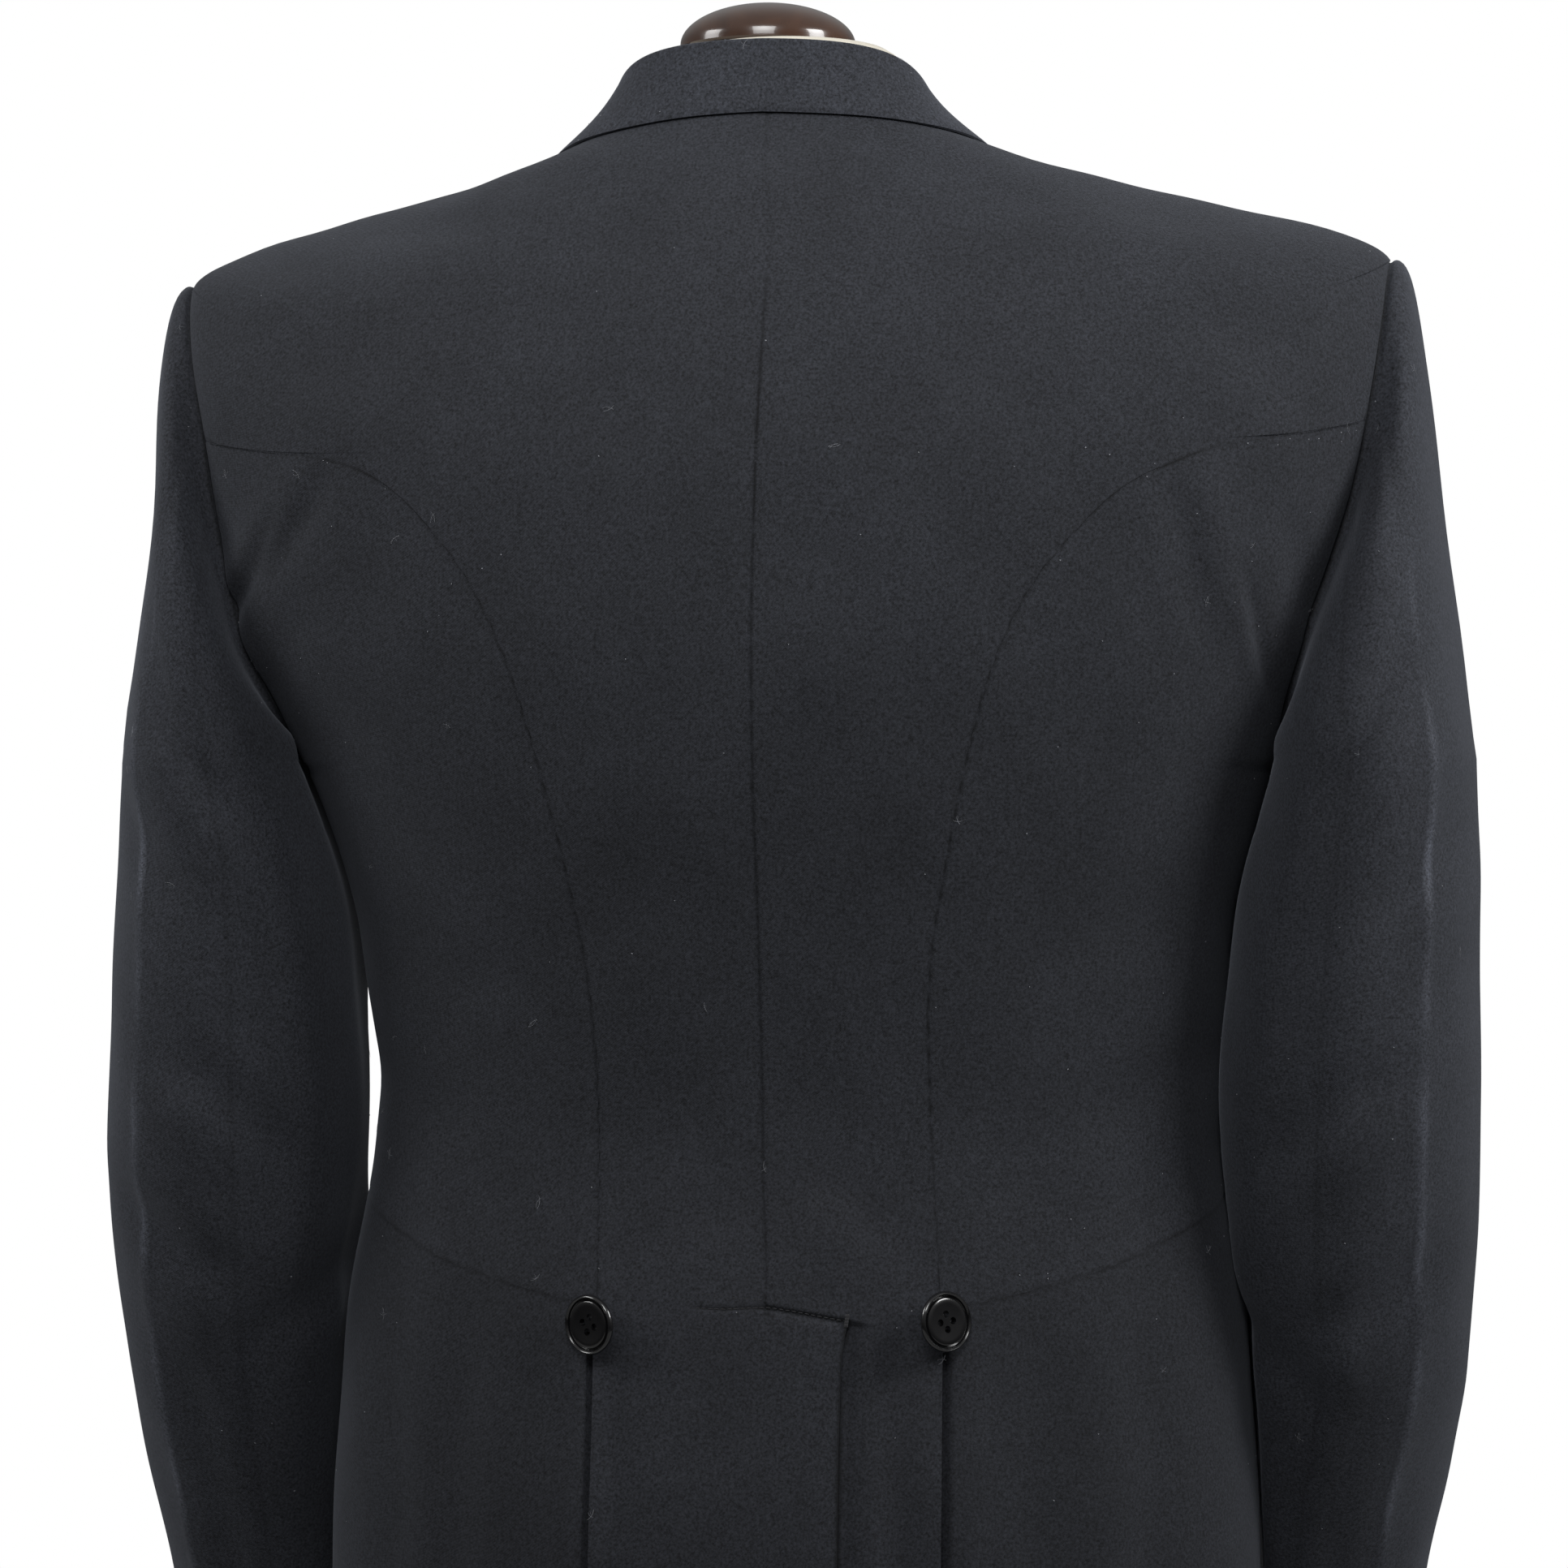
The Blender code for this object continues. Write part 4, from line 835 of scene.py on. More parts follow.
# turn round the sleeve in degrees (0 outside, 90 behind, 180 at the body) and height
SLEEVE_FOLDS = {
    1: (
        ((60, 1.285), (115, 1.215), 0.0090, 0.0022, 1), ((28, 1.240), (80, 1.190), 0.0120, 0.0014, -1),
        ((70, 1.130), (135, 1.085), 0.0110, 0.0018, 1), ((40, 1.070), (110, 1.035), 0.0110, 0.0020, -1),
        ((100, 1.010), (160, 1.040), 0.0100, 0.0020, 1), ((76, 1.000), (84, 0.900), 0.0130, 0.0014, 1),
        ((110, 1.200), (122, 1.080), 0.0120, 0.0016, -1), ((118, 1.090), (104, 0.960), 0.0130, 0.0018, -1),
        ((-60, 1.280), (-110, 1.210), 0.0090, 0.0020, 1), ((-40, 1.060), (-120, 1.030), 0.0110, 0.0022, 1),
        ((-70, 1.000), (-130, 1.030), 0.0110, 0.0018, -1), ((-80, 0.930), (-130, 0.960), 0.0100, 0.0015, 1),
    ),
    -1: (
        ((62, 1.290), (112, 1.225), 0.0085, 0.0020, -1), ((30, 1.220), (84, 1.180), 0.0120, 0.0014, 1),
        ((72, 1.120), (132, 1.090), 0.0110, 0.0016, 1), ((48, 1.050), (112, 1.020), 0.0110, 0.0020, 1),
        ((100, 0.990), (158, 1.030), 0.0100, 0.0020, -1), ((82, 1.010), (90, 0.880), 0.0130, 0.0014, -1),
        ((108, 1.210), (120, 1.070), 0.0120, 0.0016, 1), ((116, 1.060), (106, 0.930), 0.0130, 0.0018, 1),
        ((-60, 1.270), (-112, 1.215), 0.0090, 0.0020, -1), ((-44, 1.070), (-118, 1.040), 0.0110, 0.0022, -1),
        ((-72, 0.990), (-128, 1.020), 0.0110, 0.0018, 1), ((-78, 0.920), (-128, 0.950), 0.0100, 0.0015, -1),
    ),
}
SLEEVE_GIRTH_RADIUS = 0.062


def body_half_width(y, z):
    """x of the coat's side at this depth and height, below the shoulders"""
    side = ring_column("y_side", z)
    reach = np.where(y > side, ring_column("y_back", z) - side, side - ring_column("y_front", z))
    share = np.clip(np.abs(y - side) / reach, 0.0, 1.0) ** SQUARENESS
    return ring_column("half_width", z) * (1.0 - share) ** (1.0 / SQUARENESS)


def armhole_edge(steps):
    """fine points of the armhole from the shoulder tip, down the back and up the front"""
    corners = len(ARMHOLE_POINTS) - 1
    table = [(k, level) for k, level in enumerate(ARMHOLE_POINTS)]
    at = np.arange(2 * corners * steps) / steps
    rising = at > corners
    level = smooth(table, np.where(rising, 2 * corners - at, at))
    angle = np.where(rising, armhole_angle(level, 1), armhole_angle(level, -1))
    points = coat_point(angle, level)
    normals = coat_normal(angle, level)
    tangents = unit(np.roll(points, -1, axis=0) - np.roll(points, 1, axis=0))
    across = unit(np.cross(normals, tangents))
    sign = np.sign(np.sum(across * (points.mean(axis=0) - points), axis=-1, keepdims=True))
    return points, normals, across * sign


def sleeve_ring(height, turns, side):
    """one ring of a sleeve, tilted forward, kept clear of the coat's side"""
    centre_x, centre_y, half_width, half_depth, tilt = [smooth(SLEEVE[::-1], height, k) for k in range(1, 6)]
    before = np.exp(-((((np.degrees(turns) - 222.0) / 32.0)) ** 2))
    x = centre_x + smooth(SLEEVE_SWING[side], height) + half_width * np.cos(turns)
    x = x - smooth(SLEEVE_PRESS[side], height) * before
    y = centre_y + half_depth * np.sin(turns)
    z = height + (y - centre_y) * math.tan(math.radians(tilt))
    gap = x - (body_half_width(y, z) + BODY_CLEARANCE[side])
    return np.stack([x - gap + 0.5 * (gap + np.sqrt(gap**2 + 0.0020**2)), y, z], axis=-1)


def sleeve_grid(side):
    """outer points of the left sleeve, ring by ring from the armhole to the cuff"""
    points, normals, across = armhole_edge(SLEEVE_FINENESS)
    count = len(points)
    turns = 2.0 * math.pi * np.arange(count) / count
    first = points + across * 0.0002
    heights = spans((1.240, 0.835, 0.005), (0.835, 0.825, 0.0025))
    rings = [sleeve_ring(height, turns, side) for height in heights]
    top = (1.0 + np.cos(turns))[:, None] / 2.0
    start = first + np.array([1.0, 0.0, 0.0]) * (0.0045 + 0.0095 * top)
    start = start + np.array([0.0, 0.0, 1.0]) * 0.0060 * top**3
    rise = np.concatenate([-0.021 * top, 0.0 * top, 0.012 + 0.128 * top], axis=1)
    end = rings[0] + rise
    grid = []
    for t in spans((0.0, 0.02, 0.004), (0.02, 0.10, 0.012), (0.10, 0.98, 0.036)):
        grid.append(
            first * (1 - t) ** 3 + start * 3 * t * (1 - t) ** 2 + end * 3 * t**2 * (1 - t) + rings[0] * t**3
        )
    return np.array(grid + rings), normals, turns


def sleeve_relief(grid, turns, side, swing_folds):
    """folds of a sleeve, its pressed crease and its two long seams"""
    degrees = np.degrees(np.where(turns > math.pi, turns - 2 * math.pi, turns))
    arc = np.radians(degrees)[None, :] * SLEEVE_GIRTH_RADIUS * np.ones(grid.shape[:2])
    height = grid[..., 2]
    folds = []
    for (d0, z0), (d1, z1), width, trough, leaning in swing_folds:
        a0 = math.radians(d0) * SLEEVE_GIRTH_RADIUS
        a1 = math.radians(d1) * SLEEVE_GIRTH_RADIUS
        folds.append(((a0, z0), (a1, z1), width, trough, leaning))
    relief = fold_relief(arc, height, folds)
    relief += unevenness(side * grid[..., 0], grid[..., 1], height, 0.0024)
    for crease in (58.0, -52.0):
        off = arc - math.radians(crease) * SLEEVE_GIRTH_RADIUS - 0.0012 * np.sin(height * 24.0)
        relief += 0.0013 * np.exp(-np.abs(off) / 0.0045) * ease(1.32, 1.22, height)
    return relief


def sleeve_shine(grid, turns):
    """where pressing has polished the cloth: thin broken lines along the creases, smoother there and painted lighter as
    a highlight
    """
    degrees = np.degrees(np.where(turns > math.pi, turns - 2 * math.pi, turns))
    arc = np.radians(degrees)[None, :] * SLEEVE_GIRTH_RADIUS * np.ones(grid.shape[:2])
    height = grid[..., 2]
    broken = 0.5 + 0.5 * np.sin(height * 90.0) * np.sin(height * 37.0 + 1.3)
    total = np.zeros(grid.shape[:2])
    for crease in (58.0, -52.0):
        off = arc - math.radians(crease) * SLEEVE_GIRTH_RADIUS - 0.0012 * np.sin(height * 24.0)
        total += np.exp(-((off / 0.0016) ** 2)) * broken * ease(1.33, 1.24, height)
    return total


def make_sleeve(side):
    """both pieces of one sleeve from one grid"""
    grid, edge_normals, turns = sleeve_grid(side)
    round_it = np.roll(grid, -1, axis=1) - np.roll(grid, 1, axis=1)
    normals = unit(np.cross(np.gradient(grid, axis=0), round_it))
    centre = grid.mean(axis=1, keepdims=True)
    normals = normals * np.sign(np.sum(normals * (grid - centre), axis=(1, 2), keepdims=True))[-1]
    rows = np.arange(len(grid))[:, None, None]
    near = np.exp(-rows / 3.0)
    normals = unit(normals * (1.0 - near) + edge_normals[None] * near)
    sunk = -GROOVE_DEPTH * np.exp(-((np.linalg.norm(grid - grid[:1], axis=-1) / GROOVE_WIDTH) ** 2))
    relief = sleeve_relief(grid, turns, side, SLEEVE_FOLDS[side]) * (1.0 - np.exp(-rows[..., 0] / 6.0))
    count = grid.shape[1]
    seam = UNDER_FIRST * SLEEVE_FINENESS
    gap = np.linalg.norm(grid - grid[:1], axis=-1)
    long_seam_shade = np.zeros_like(gap)
    for column in (seam, count - seam):
        near = np.linalg.norm(grid - grid[:, column:column + 1], axis=-1)
        relief = relief - 0.3 * GROOVE_DEPTH * np.exp(-((near / GROOVE_WIDTH) ** 2))
        long_seam_shade = np.maximum(long_seam_shade, np.exp(-((near / SEAM_SHADE_WIDTH) ** 2)))
    outer = grid + normals * (relief + sunk)[..., None]
    round_it = np.roll(outer, -1, axis=1) - np.roll(outer, 1, axis=1)
    facing = unit(np.cross(np.gradient(outer, axis=0), round_it))
    facing = facing * np.sign(np.sum(facing * normals))
    inner = outer - normals * CLOTH
    flip = np.array([side, 1.0, 1.0])
    under = np.arange(seam, count - seam + 1)
    over = np.arange(count - seam, count + seam + 1) % count
    word = "left" if side > 0 else "right"
    # painted shade along the armhole seam and, fainter, along the two long seams
    dark = np.maximum(0.8 * np.exp(-((gap / SEAM_SHADE_WIDTH) ** 2)), 0.22 * long_seam_shade)
    # smoother cloth along the creases, with a painted highlight
    shine = sleeve_shine(grid, turns)
    made = []
    for part, columns in (("sleeve-under", under), ("sleeve-top", over)):
        skin = lean(outer[:, columns] * flip)
        back_skin = lean(inner[:, columns] * flip)
        made.append(shell(
            part + "-" + word, skin, back_skin, facing[:, columns] * flip, sleeve_wool_painted_lighter,
            cloth_map(grid[:, columns]), seam=dark[:, columns], shine=shine[:, columns],
        ))
    return made


for side, word in ((1, "left"), (-1, "right")):
    under_sleeve, top_sleeve = make_sleeve(side)
    declare(under_sleeve, "sleeve_under_" + word)
    declare(top_sleeve, "sleeve_top_" + word)

# The collar
# One turned worsted collar: a stand sewn round the neck and a fall, folded over it along a
# soft crest and pressed down on the backs, its edge bluffed without stitching.
# painted light: the collar's cloth is the backs' worsted painted 1.45 times lighter, with more sheen, as if lit from
# above
collar_wool_painted_lighter = wool_material("collar wool", tuple(1.45 * part for part in WOOL), 1.3)
# share of the way from the centre of the back, height of the stand, its lean, reach of the fall
COLLAR = {
    1: (
        (0.00, 0.0240, 56.0, 0.0050), (0.35, 0.0236, 54.0, 0.0092), (0.60, 0.0215, 44.0, 0.0205),
        (0.78, 0.0140, 38.0, 0.0335), (0.90, 0.0080, 36.0, 0.0385), (1.00, 0.0050, 34.0, 0.0330),
    ),
    -1: (
        (0.00, 0.0240, 56.0, 0.0050), (0.35, 0.0215, 57.0, 0.0080), (0.60, 0.0180, 50.0, 0.0150),
        (0.78, 0.0120, 41.0, 0.0230), (0.90, 0.0080, 36.0, 0.0300), (1.00, 0.0050, 34.0, 0.0330),
    ),
}
GORGE = 1.505
COLLAR_CORNER = 0.62
LAYER = 0.0023


def along(points):
    return unit(np.gradient(points, axis=0))


def collar_line(share):
    """the edge that the collar is sewn to: round the neck, then down the roll line"""
    side_angle = float(roll_angle(NECK))
    angle = np.minimum(share / COLLAR_CORNER, 1.0) * side_angle
    level = NECK + (GORGE - NECK) * np.clip((share - COLLAR_CORNER) / (1.0 - COLLAR_CORNER), 0.0, 1.0)
    return np.where(share > COLLAR_CORNER, roll_angle(level), angle), level


def surface_walk(angle, level, direction, distance, steps=6):
    """walk over the coat's surface from a point, in a direction, for a distance"""
    for _ in range(steps):
        d_angle = (coat_point(angle + 1e-3, level) - coat_point(angle - 1e-3, level)) / 2e-3
        d_level = (coat_point(angle, level + 5e-4) - coat_point(angle, level - 5e-4)) / 1e-3
        aa = np.sum(d_angle * d_angle, axis=-1)
        ll = np.sum(d_level * d_level, axis=-1)
        al = np.sum(d_angle * d_level, axis=-1)
        da = np.sum(direction * d_angle, axis=-1)
        dl = np.sum(direction * d_level, axis=-1)
        det = aa * ll - al * al
        angle = angle + distance / steps * (da * ll - dl * al) / det
        level = level + distance / steps * (dl * aa - da * al) / det
    return angle, level


def rounded(path, steps):
    """a smooth curve through a path of points, laid out on the first axis"""
    ends = np.concatenate([2 * path[:1] - path[1:2], path, 2 * path[-1:] - path[-2:-1]])
    rows = []
    for k in range(1, len(ends) - 2):
        a, b, c, d = ends[k - 1:k + 3]
        for t in np.linspace(0.0, 1.0, steps, endpoint=False):
            rows.append(
                0.5 * (2 * b + (c - a) * t + (2 * a - 5 * b + 4 * c - d) * t**2 + (3 * b - a - 3 * c + d) * t**3)
            )
    rows.append(path[-1])
    return np.array(rows)


def collar_half(share, side):
    """rows of points over one half of the collar, from its foot over the crest to the fall's edge"""
    angle, level = collar_line(share)
    edge = coat_point(angle, level)
    normal = coat_normal(angle, level)
    blur = np.exp(-((share[:, None] - share[None, :]) / 0.035) ** 2)
    blur = blur / blur.sum(axis=1, keepdims=True)
    away = unit(np.cross(normal, along(edge)))
    below = coat_point(angle, level - 0.02) - edge
    away = away * np.sign(np.sum(away[0] * below[0]))
    away = unit(blur @ away)
    away[0] = unit(away[0] * np.array([0.0, 1.0, 1.0]))
    table = COLLAR[side]
    stand = smooth(table, share, 1)[:, None]
    tilt = np.radians(smooth(table, share, 2))[:, None]
    up = normal * np.cos(tilt) - away * np.sin(tilt)
    fall_angle, fall_level = surface_walk(angle, level, away, smooth(table, share, 3))
    fall_base = coat_point(fall_angle, fall_level)
    fall_lift = 0.0012 + body_relief(fall_base * np.array([side, 1.0, 1.0]), side * fall_angle, fall_level)
    fall = fall_base + coat_normal(fall_angle, fall_level) * fall_lift[:, None]
    foot = edge - away * 0.0004
    crest = foot + up * stand
    outward = unit(fall - crest)
    over = unit(np.cross(along(crest), outward))
    over = over * np.sign(np.sum(over * up, axis=-1, keepdims=True))
    across = unit(away - up * np.sum(away * up, axis=-1, keepdims=True))
    bend = 0.0026
    middle = (crest + fall) / 2 + over * 0.0016
    path = [
        foot - across * CLOTH,
        foot + up * stand * 0.5 - across * CLOTH,
        crest - across * CLOTH - up * 0.0008,
        crest + over * bend * 0.8 + across * 0.0004,
        crest + outward * bend * 1.7 + over * bend * 0.95,
        middle,
        fall * 0.8 + middle * 0.2 + over * 0.0003,
        fall,
    ]
    rows = rounded(np.array(path), 7)
    return np.transpose(rows, (1, 0, 2)) * np.array([side, 1.0, 1.0])


def make_collar():
    share = np.linspace(0.0, 1.0, 90)
    whole = np.concatenate([collar_half(share, -1)[:0:-1], collar_half(share, 1)])
    down = np.gradient(whole, axis=1)
    outside = unit(np.cross(down, np.gradient(whole, axis=0)))
    centre = whole[len(share) - 1]
    crest_row = int(np.argmax(centre[:, 2]))
    if outside[len(share) - 1, crest_row, 2] < 0.0:
        outside = -outside
    ends = np.linspace(0.0, 1.0, whole.shape[1])
    thick = CLOTH * (0.6 + 0.4 * ease(0.0, 0.06, 1.0 - ends))[None, :, None]
    skin = lean(whole)
    inside = lean(whole - outside * thick)
    facing = unit(np.cross(np.gradient(skin, axis=1), np.gradient(skin, axis=0)))
    facing = facing * np.sign(np.sum(facing * outside))
    return shell("turned-collar", skin, inside, facing, collar_wool_painted_lighter, cloth_map(whole), seam=np.zeros(whole.shape[:2]))


declare(make_collar(), "collar")

# The two lapels
# Peaked lapels faced with silk, folded back along the roll line and lying on the foreparts.
silk = new_material("lapel silk")
silk_shader = plain(silk, (0.0105, 0.0110, 0.0135), 0.38)
silk_shader.inputs["Sheen Weight"].default_value = 0.05
silk_ribs = add_node(silk, "ShaderNodeTexWave", Scale=420.0, Distortion=0.6, Detail=1.0)
silk_bump = add_node(silk, "ShaderNodeBump", Strength=0.25, Distance=0.00010)
silk_place = add_node(silk, "ShaderNodeUVMap", uv_map="cloth")
link(silk, silk_place, "UV", silk_ribs, "Vector")
link(silk, silk_ribs, "Fac", silk_bump, "Height")
link(silk, silk_bump, "Normal", silk_shader, "Normal")
ROLL_BOTTOM = 1.105
LAPEL_TOP = ((0.0, GORGE - 0.004), (0.30, 1.478), (0.5, 1.445), (0.62, 1.420), (1.0, 1.436))
LAPEL_WIDTH = ((0.0, 0.006), (0.35, 0.040), (0.75, 0.072), (0.92, 0.088), (1.0, 0.094))


def make_lapel(side):
    across = np.concatenate([[0.0, 0.01, 0.022, 0.04, 0.065], np.linspace(0.10, 0.98, 34), [1.0]])
    rise = np.linspace(0.0, 1.0, 70)
    top = smooth(LAPEL_TOP, across)
    level = ROLL_BOTTOM + (top[None, :] - ROLL_BOTTOM) * rise[:, None]
    start = smooth(FRONT_EDGE, level) + 0.0006
    width = smooth(LAPEL_WIDTH, rise)[:, None] * np.ones_like(level)
    place = start + width * across[None, :]
    angle = side * front_angle(place, level)
    name = "lapel-left" if side > 0 else "lapel-right"
    return coat_panel(name, angle, level, silk, lapel_depth, seams=False)


def lapel_depth(angle, level):
    """a lapel rolls out of the forepart's edge and then lies on it"""
    out = np.abs(coat_point(angle, level)[..., 0]) - smooth(FRONT_EDGE, level)
    out = np.maximum(out, 0.0)
    return 0.0036 - 0.0036 * np.exp(-out / 0.0022) + 0.0022 * np.exp(-(((out - 0.008) / 0.007) ** 2))


for side, word in ((1, "left"), (-1, "right")):
    lapel = make_lapel(side)
    declare(lapel, "lapel_" + word)

# The buttons
# Polished black horn with four holes in a shallow dish, sewn on with a wound thread shank; the
# two at the hips stand off at a slant, the three on each front lie square to the cloth.
horn = new_material("polished horn")
horn_shader = plain(horn, (0.0060, 0.0060, 0.0066), 0.17, Coat_Weight=0.6, Coat_Roughness=0.06)
horn_cloud = add_node(horn, "ShaderNodeTexNoise", Scale=120.0, Detail=4.0)
horn_range = add_node(horn, "ShaderNodeMapRange", From_Min=0.3, From_Max=0.7, To_Min=0.13, To_Max=0.26)
horn_place = add_node(horn, "ShaderNodeTexCoord")
link(horn, horn_place, "Object", horn_cloud, "Vector")
link(horn, horn_cloud, "Fac", horn_range, "Value")
link(horn, horn_range, "Result", horn_shader, "Roughness")
thread_black = new_material("black thread")
plain(thread_black, (0.012, 0.012, 0.015), 0.75, Sheen_Weight=0.2)
HIP_BUTTON = 0.0114
FRONT_BUTTON = 0.0090
HIP_BUTTON_PLACES = {1: (0.0626, 1.0292, 23.0, 0.0050), -1: (0.0620, 1.0310, 32.0, 0.0058)}
HIP_BUTTON_DROOP = {1: -0.02, -1: 0.10}
FRONT_BUTTONS = ((1.150, 0.094), (1.110, 0.100), (1.070, 0.108))


def turned(profile, sides):
    """a closed turned body: profile is radius and height, from axis to axis"""
    builder = bmesh.new()
    rings = []
    for radius, height in profile:
        if radius < 1e-9:
            rings.append([builder.verts.new((0.0, 0.0, height))])
            continue
        turns = [2.0 * math.pi * k / sides for k in range(sides)]
        rings.append([builder.verts.new((radius * math.cos(t), radius * math.sin(t), height)) for t in turns])
    for low, high in zip(rings, rings[1:]):
        for k in range(sides):
            j = (k + 1) % sides
            corners = [low[k % len(low)], low[j % len(low)], high[j % len(high)], high[k % len(high)]]
            builder.faces.new(list(dict.fromkeys(corners)))
    bmesh.ops.recalc_face_normals(builder, faces=builder.faces)
    return builder


def finished(name, builder, material, sharp=35.0):
    """a shaded object of a finished builder"""
    mesh = bpy.data.meshes.new(name)
    builder.to_mesh(mesh)
    builder.free()
    mesh.materials.append(material)
    mesh.shade_smooth()
    mesh.set_sharp_from_angle(angle=math.radians(sharp))
    item = bpy.data.objects.new(name, mesh)
    bpy.context.collection.objects.link(item)
    return item


def plain_mesh(item):
    """apply an object's modifiers to a plain mesh"""
    graph = bpy.context.evaluated_depsgraph_get()
    mesh = bpy.data.meshes.new_from_object(item.evaluated_get(graph))
    item.modifiers.clear()
    item.data = mesh


def button_profile(r):
    return (
        (0.0, 0.0), (r * 0.55, 0.0), (r * 0.80, 0.0003), (r * 0.93, 0.0009), (r * 0.985, 0.0016),
        (r, 0.0022), (r * 0.985, 0.0029), (r * 0.955, 0.0034), (r * 0.92, 0.0036), (r * 0.885, 0.0034),
        (r * 0.86, 0.0029), (r * 0.84, 0.0022), (r * 0.815, 0.0020), (r * 0.79, 0.0023), (r * 0.765, 0.0029),
        (r * 0.73, 0.0031), (r * 0.60, 0.0030), (r * 0.40, 0.0028), (r * 0.20, 0.0027), (0.0, 0.0027),
    )


def button_at(name, radius, point, facing, lift):
    """a four-hole button with its back face at a height above a point of the cloth"""
    button = finished(name, turned(button_profile(radius), 72), horn)
    hole_radius = radius * 0.118
    spread = radius * 0.178
    cutter_mesh = bmesh.new()
    for a in (-spread, spread):
        for b in (-spread, spread):
            place = Matrix.Translation((a, b, 0.002))
            bmesh.ops.create_cone(
                cutter_mesh, cap_ends=True, segments=24, radius1=hole_radius, radius2=hole_radius,
                depth=0.008, matrix=place,
            )
    cutter = finished(name + "-cutter", cutter_mesh, horn)
    modifier = button.modifiers.new("holes", "BOOLEAN")
    modifier.object = cutter
    modifier.solver = "EXACT"
    plain_mesh(button)
    bpy.data.objects.remove(cutter, do_unlink=True)
    button.data.set_sharp_from_angle(angle=math.radians(35.0))
    turn = Vector((0.0, 0.0, 1.0)).rotation_difference(Vector(facing)).to_matrix().to_4x4()
    upright = Matrix.Translation(Vector(point) + Vector(facing) * lift) @ turn
    button.data.transform(upright)
    thread = bmesh.new()
    bmesh.ops.create_cone(
        thread, cap_ends=True, segments=20, radius1=radius * 0.26, radius2=radius * 0.22,
        depth=lift + 0.0012, matrix=Matrix.Translation((0.0, 0.0, -(lift - 0.0008) / 2)),
    )
    for a in (-spread, spread):
        bmesh.ops.create_cone(
            thread, cap_ends=True, segments=8, radius1=0.00028, radius2=0.00028, depth=2 * spread,
            matrix=Matrix.Translation((a, 0.0, 0.0012)) @ Matrix.Rotation(math.pi / 2, 4, "X"),
        )
    shank = finished(name + "-thread", thread, thread_black)
    shank.data.transform(upright)
    return button, shank


def place_button(node, radius, point, facing, lift):
    button, shank = button_at(node.replace("_", "-"), radius, point, facing, lift)
    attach(button, "root")
    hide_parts(node)
    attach(shank, "root")


for side, word in ((1, "left"), (-1, "right")):
    x, level, slant, lift = HIP_BUTTON_PLACES[side]
    angle = float(back_angle(side * x, level))
    point = coat_point(angle, level)
    normal = coat_normal(angle, level)
    turn = math.radians(-side * slant)
    facing = Matrix.Rotation(turn, 3, "Z") @ Vector(normal)
    facing.z = HIP_BUTTON_DROOP[side]
    facing.normalize()
    place_button("hip_button_" + word, HIP_BUTTON, point, facing, lift)
    for k, (level, x) in enumerate(FRONT_BUTTONS):
        angle = float(side * front_angle(x, level))
        relief = float(body_relief(coat_point(angle, level), np.array(angle), np.array(level)))
        point = coat_point(angle, level) + coat_normal(angle, level) * relief
        place_button("front_button_" + word + "_" + str(k + 1), FRONT_BUTTON, point, coat_normal(angle, level), 0.0022)

# The sewing at the head of the vent
# A row of hand stitches holds the lap down, with a short bar tack at its corner.
def stitch_tree(material):
    """stitches along a curve, evenly spaced, each a short capsule lying along it"""
    tree = bpy.data.node_groups.new("stitches", "GeometryNodeTree")
    tree.interface.new_socket("Geometry", in_out="INPUT", socket_type="NodeSocketGeometry")
    inputs = {}
    for name in ("Spacing", "Length", "Radius"):
        inputs[name] = tree.interface.new_socket(name, in_out="INPUT", socket_type="NodeSocketFloat").identifier
    tree.interface.new_socket("Geometry", in_out="OUTPUT", socket_type="NodeSocketGeometry")
    group_in = tree.nodes.new("NodeGroupInput")
    group_out = tree.nodes.new("NodeGroupOutput")
    to_curve = tree.nodes.new("GeometryNodeMeshToCurve")
    to_points = tree.nodes.new("GeometryNodeCurveToPoints")
    to_points.mode = "LENGTH"
    ball = tree.nodes.new("GeometryNodeMeshIcoSphere")
    ball.inputs["Subdivisions"].default_value = 2
    size = tree.nodes.new("ShaderNodeCombineXYZ")
    half = tree.nodes.new("ShaderNodeMath")
    half.operation = "MULTIPLY"
    half.inputs[1].default_value = 0.5
    place = tree.nodes.new("GeometryNodeInstanceOnPoints")
    real = tree.nodes.new("GeometryNodeRealizeInstances")
    paint = tree.nodes.new("GeometryNodeSetMaterial")
    paint.inputs["Material"].default_value = material
    wire = tree.links.new
    wire(group_in.outputs["Geometry"], to_curve.inputs["Mesh"])
    wire(to_curve.outputs["Curve"], to_points.inputs["Curve"])
    wire(group_in.outputs["Spacing"], to_points.inputs["Length"])
    wire(group_in.outputs["Length"], half.inputs[0])
    wire(group_in.outputs["Radius"], size.inputs["X"])
    wire(group_in.outputs["Radius"], size.inputs["Y"])
    wire(half.outputs[0], size.inputs["Z"])
    ball.inputs["Radius"].default_value = 1.0
    wire(ball.outputs["Mesh"], place.inputs["Instance"])
    wire(to_points.outputs["Points"], place.inputs["Points"])
    wire(to_points.outputs["Rotation"], place.inputs["Rotation"])
    wire(size.outputs["Vector"], place.inputs["Scale"])
    wire(place.outputs["Instances"], real.inputs["Geometry"])
    wire(real.outputs["Geometry"], paint.inputs["Geometry"])
    wire(paint.outputs["Geometry"], group_out.inputs["Geometry"])
    return tree, inputs


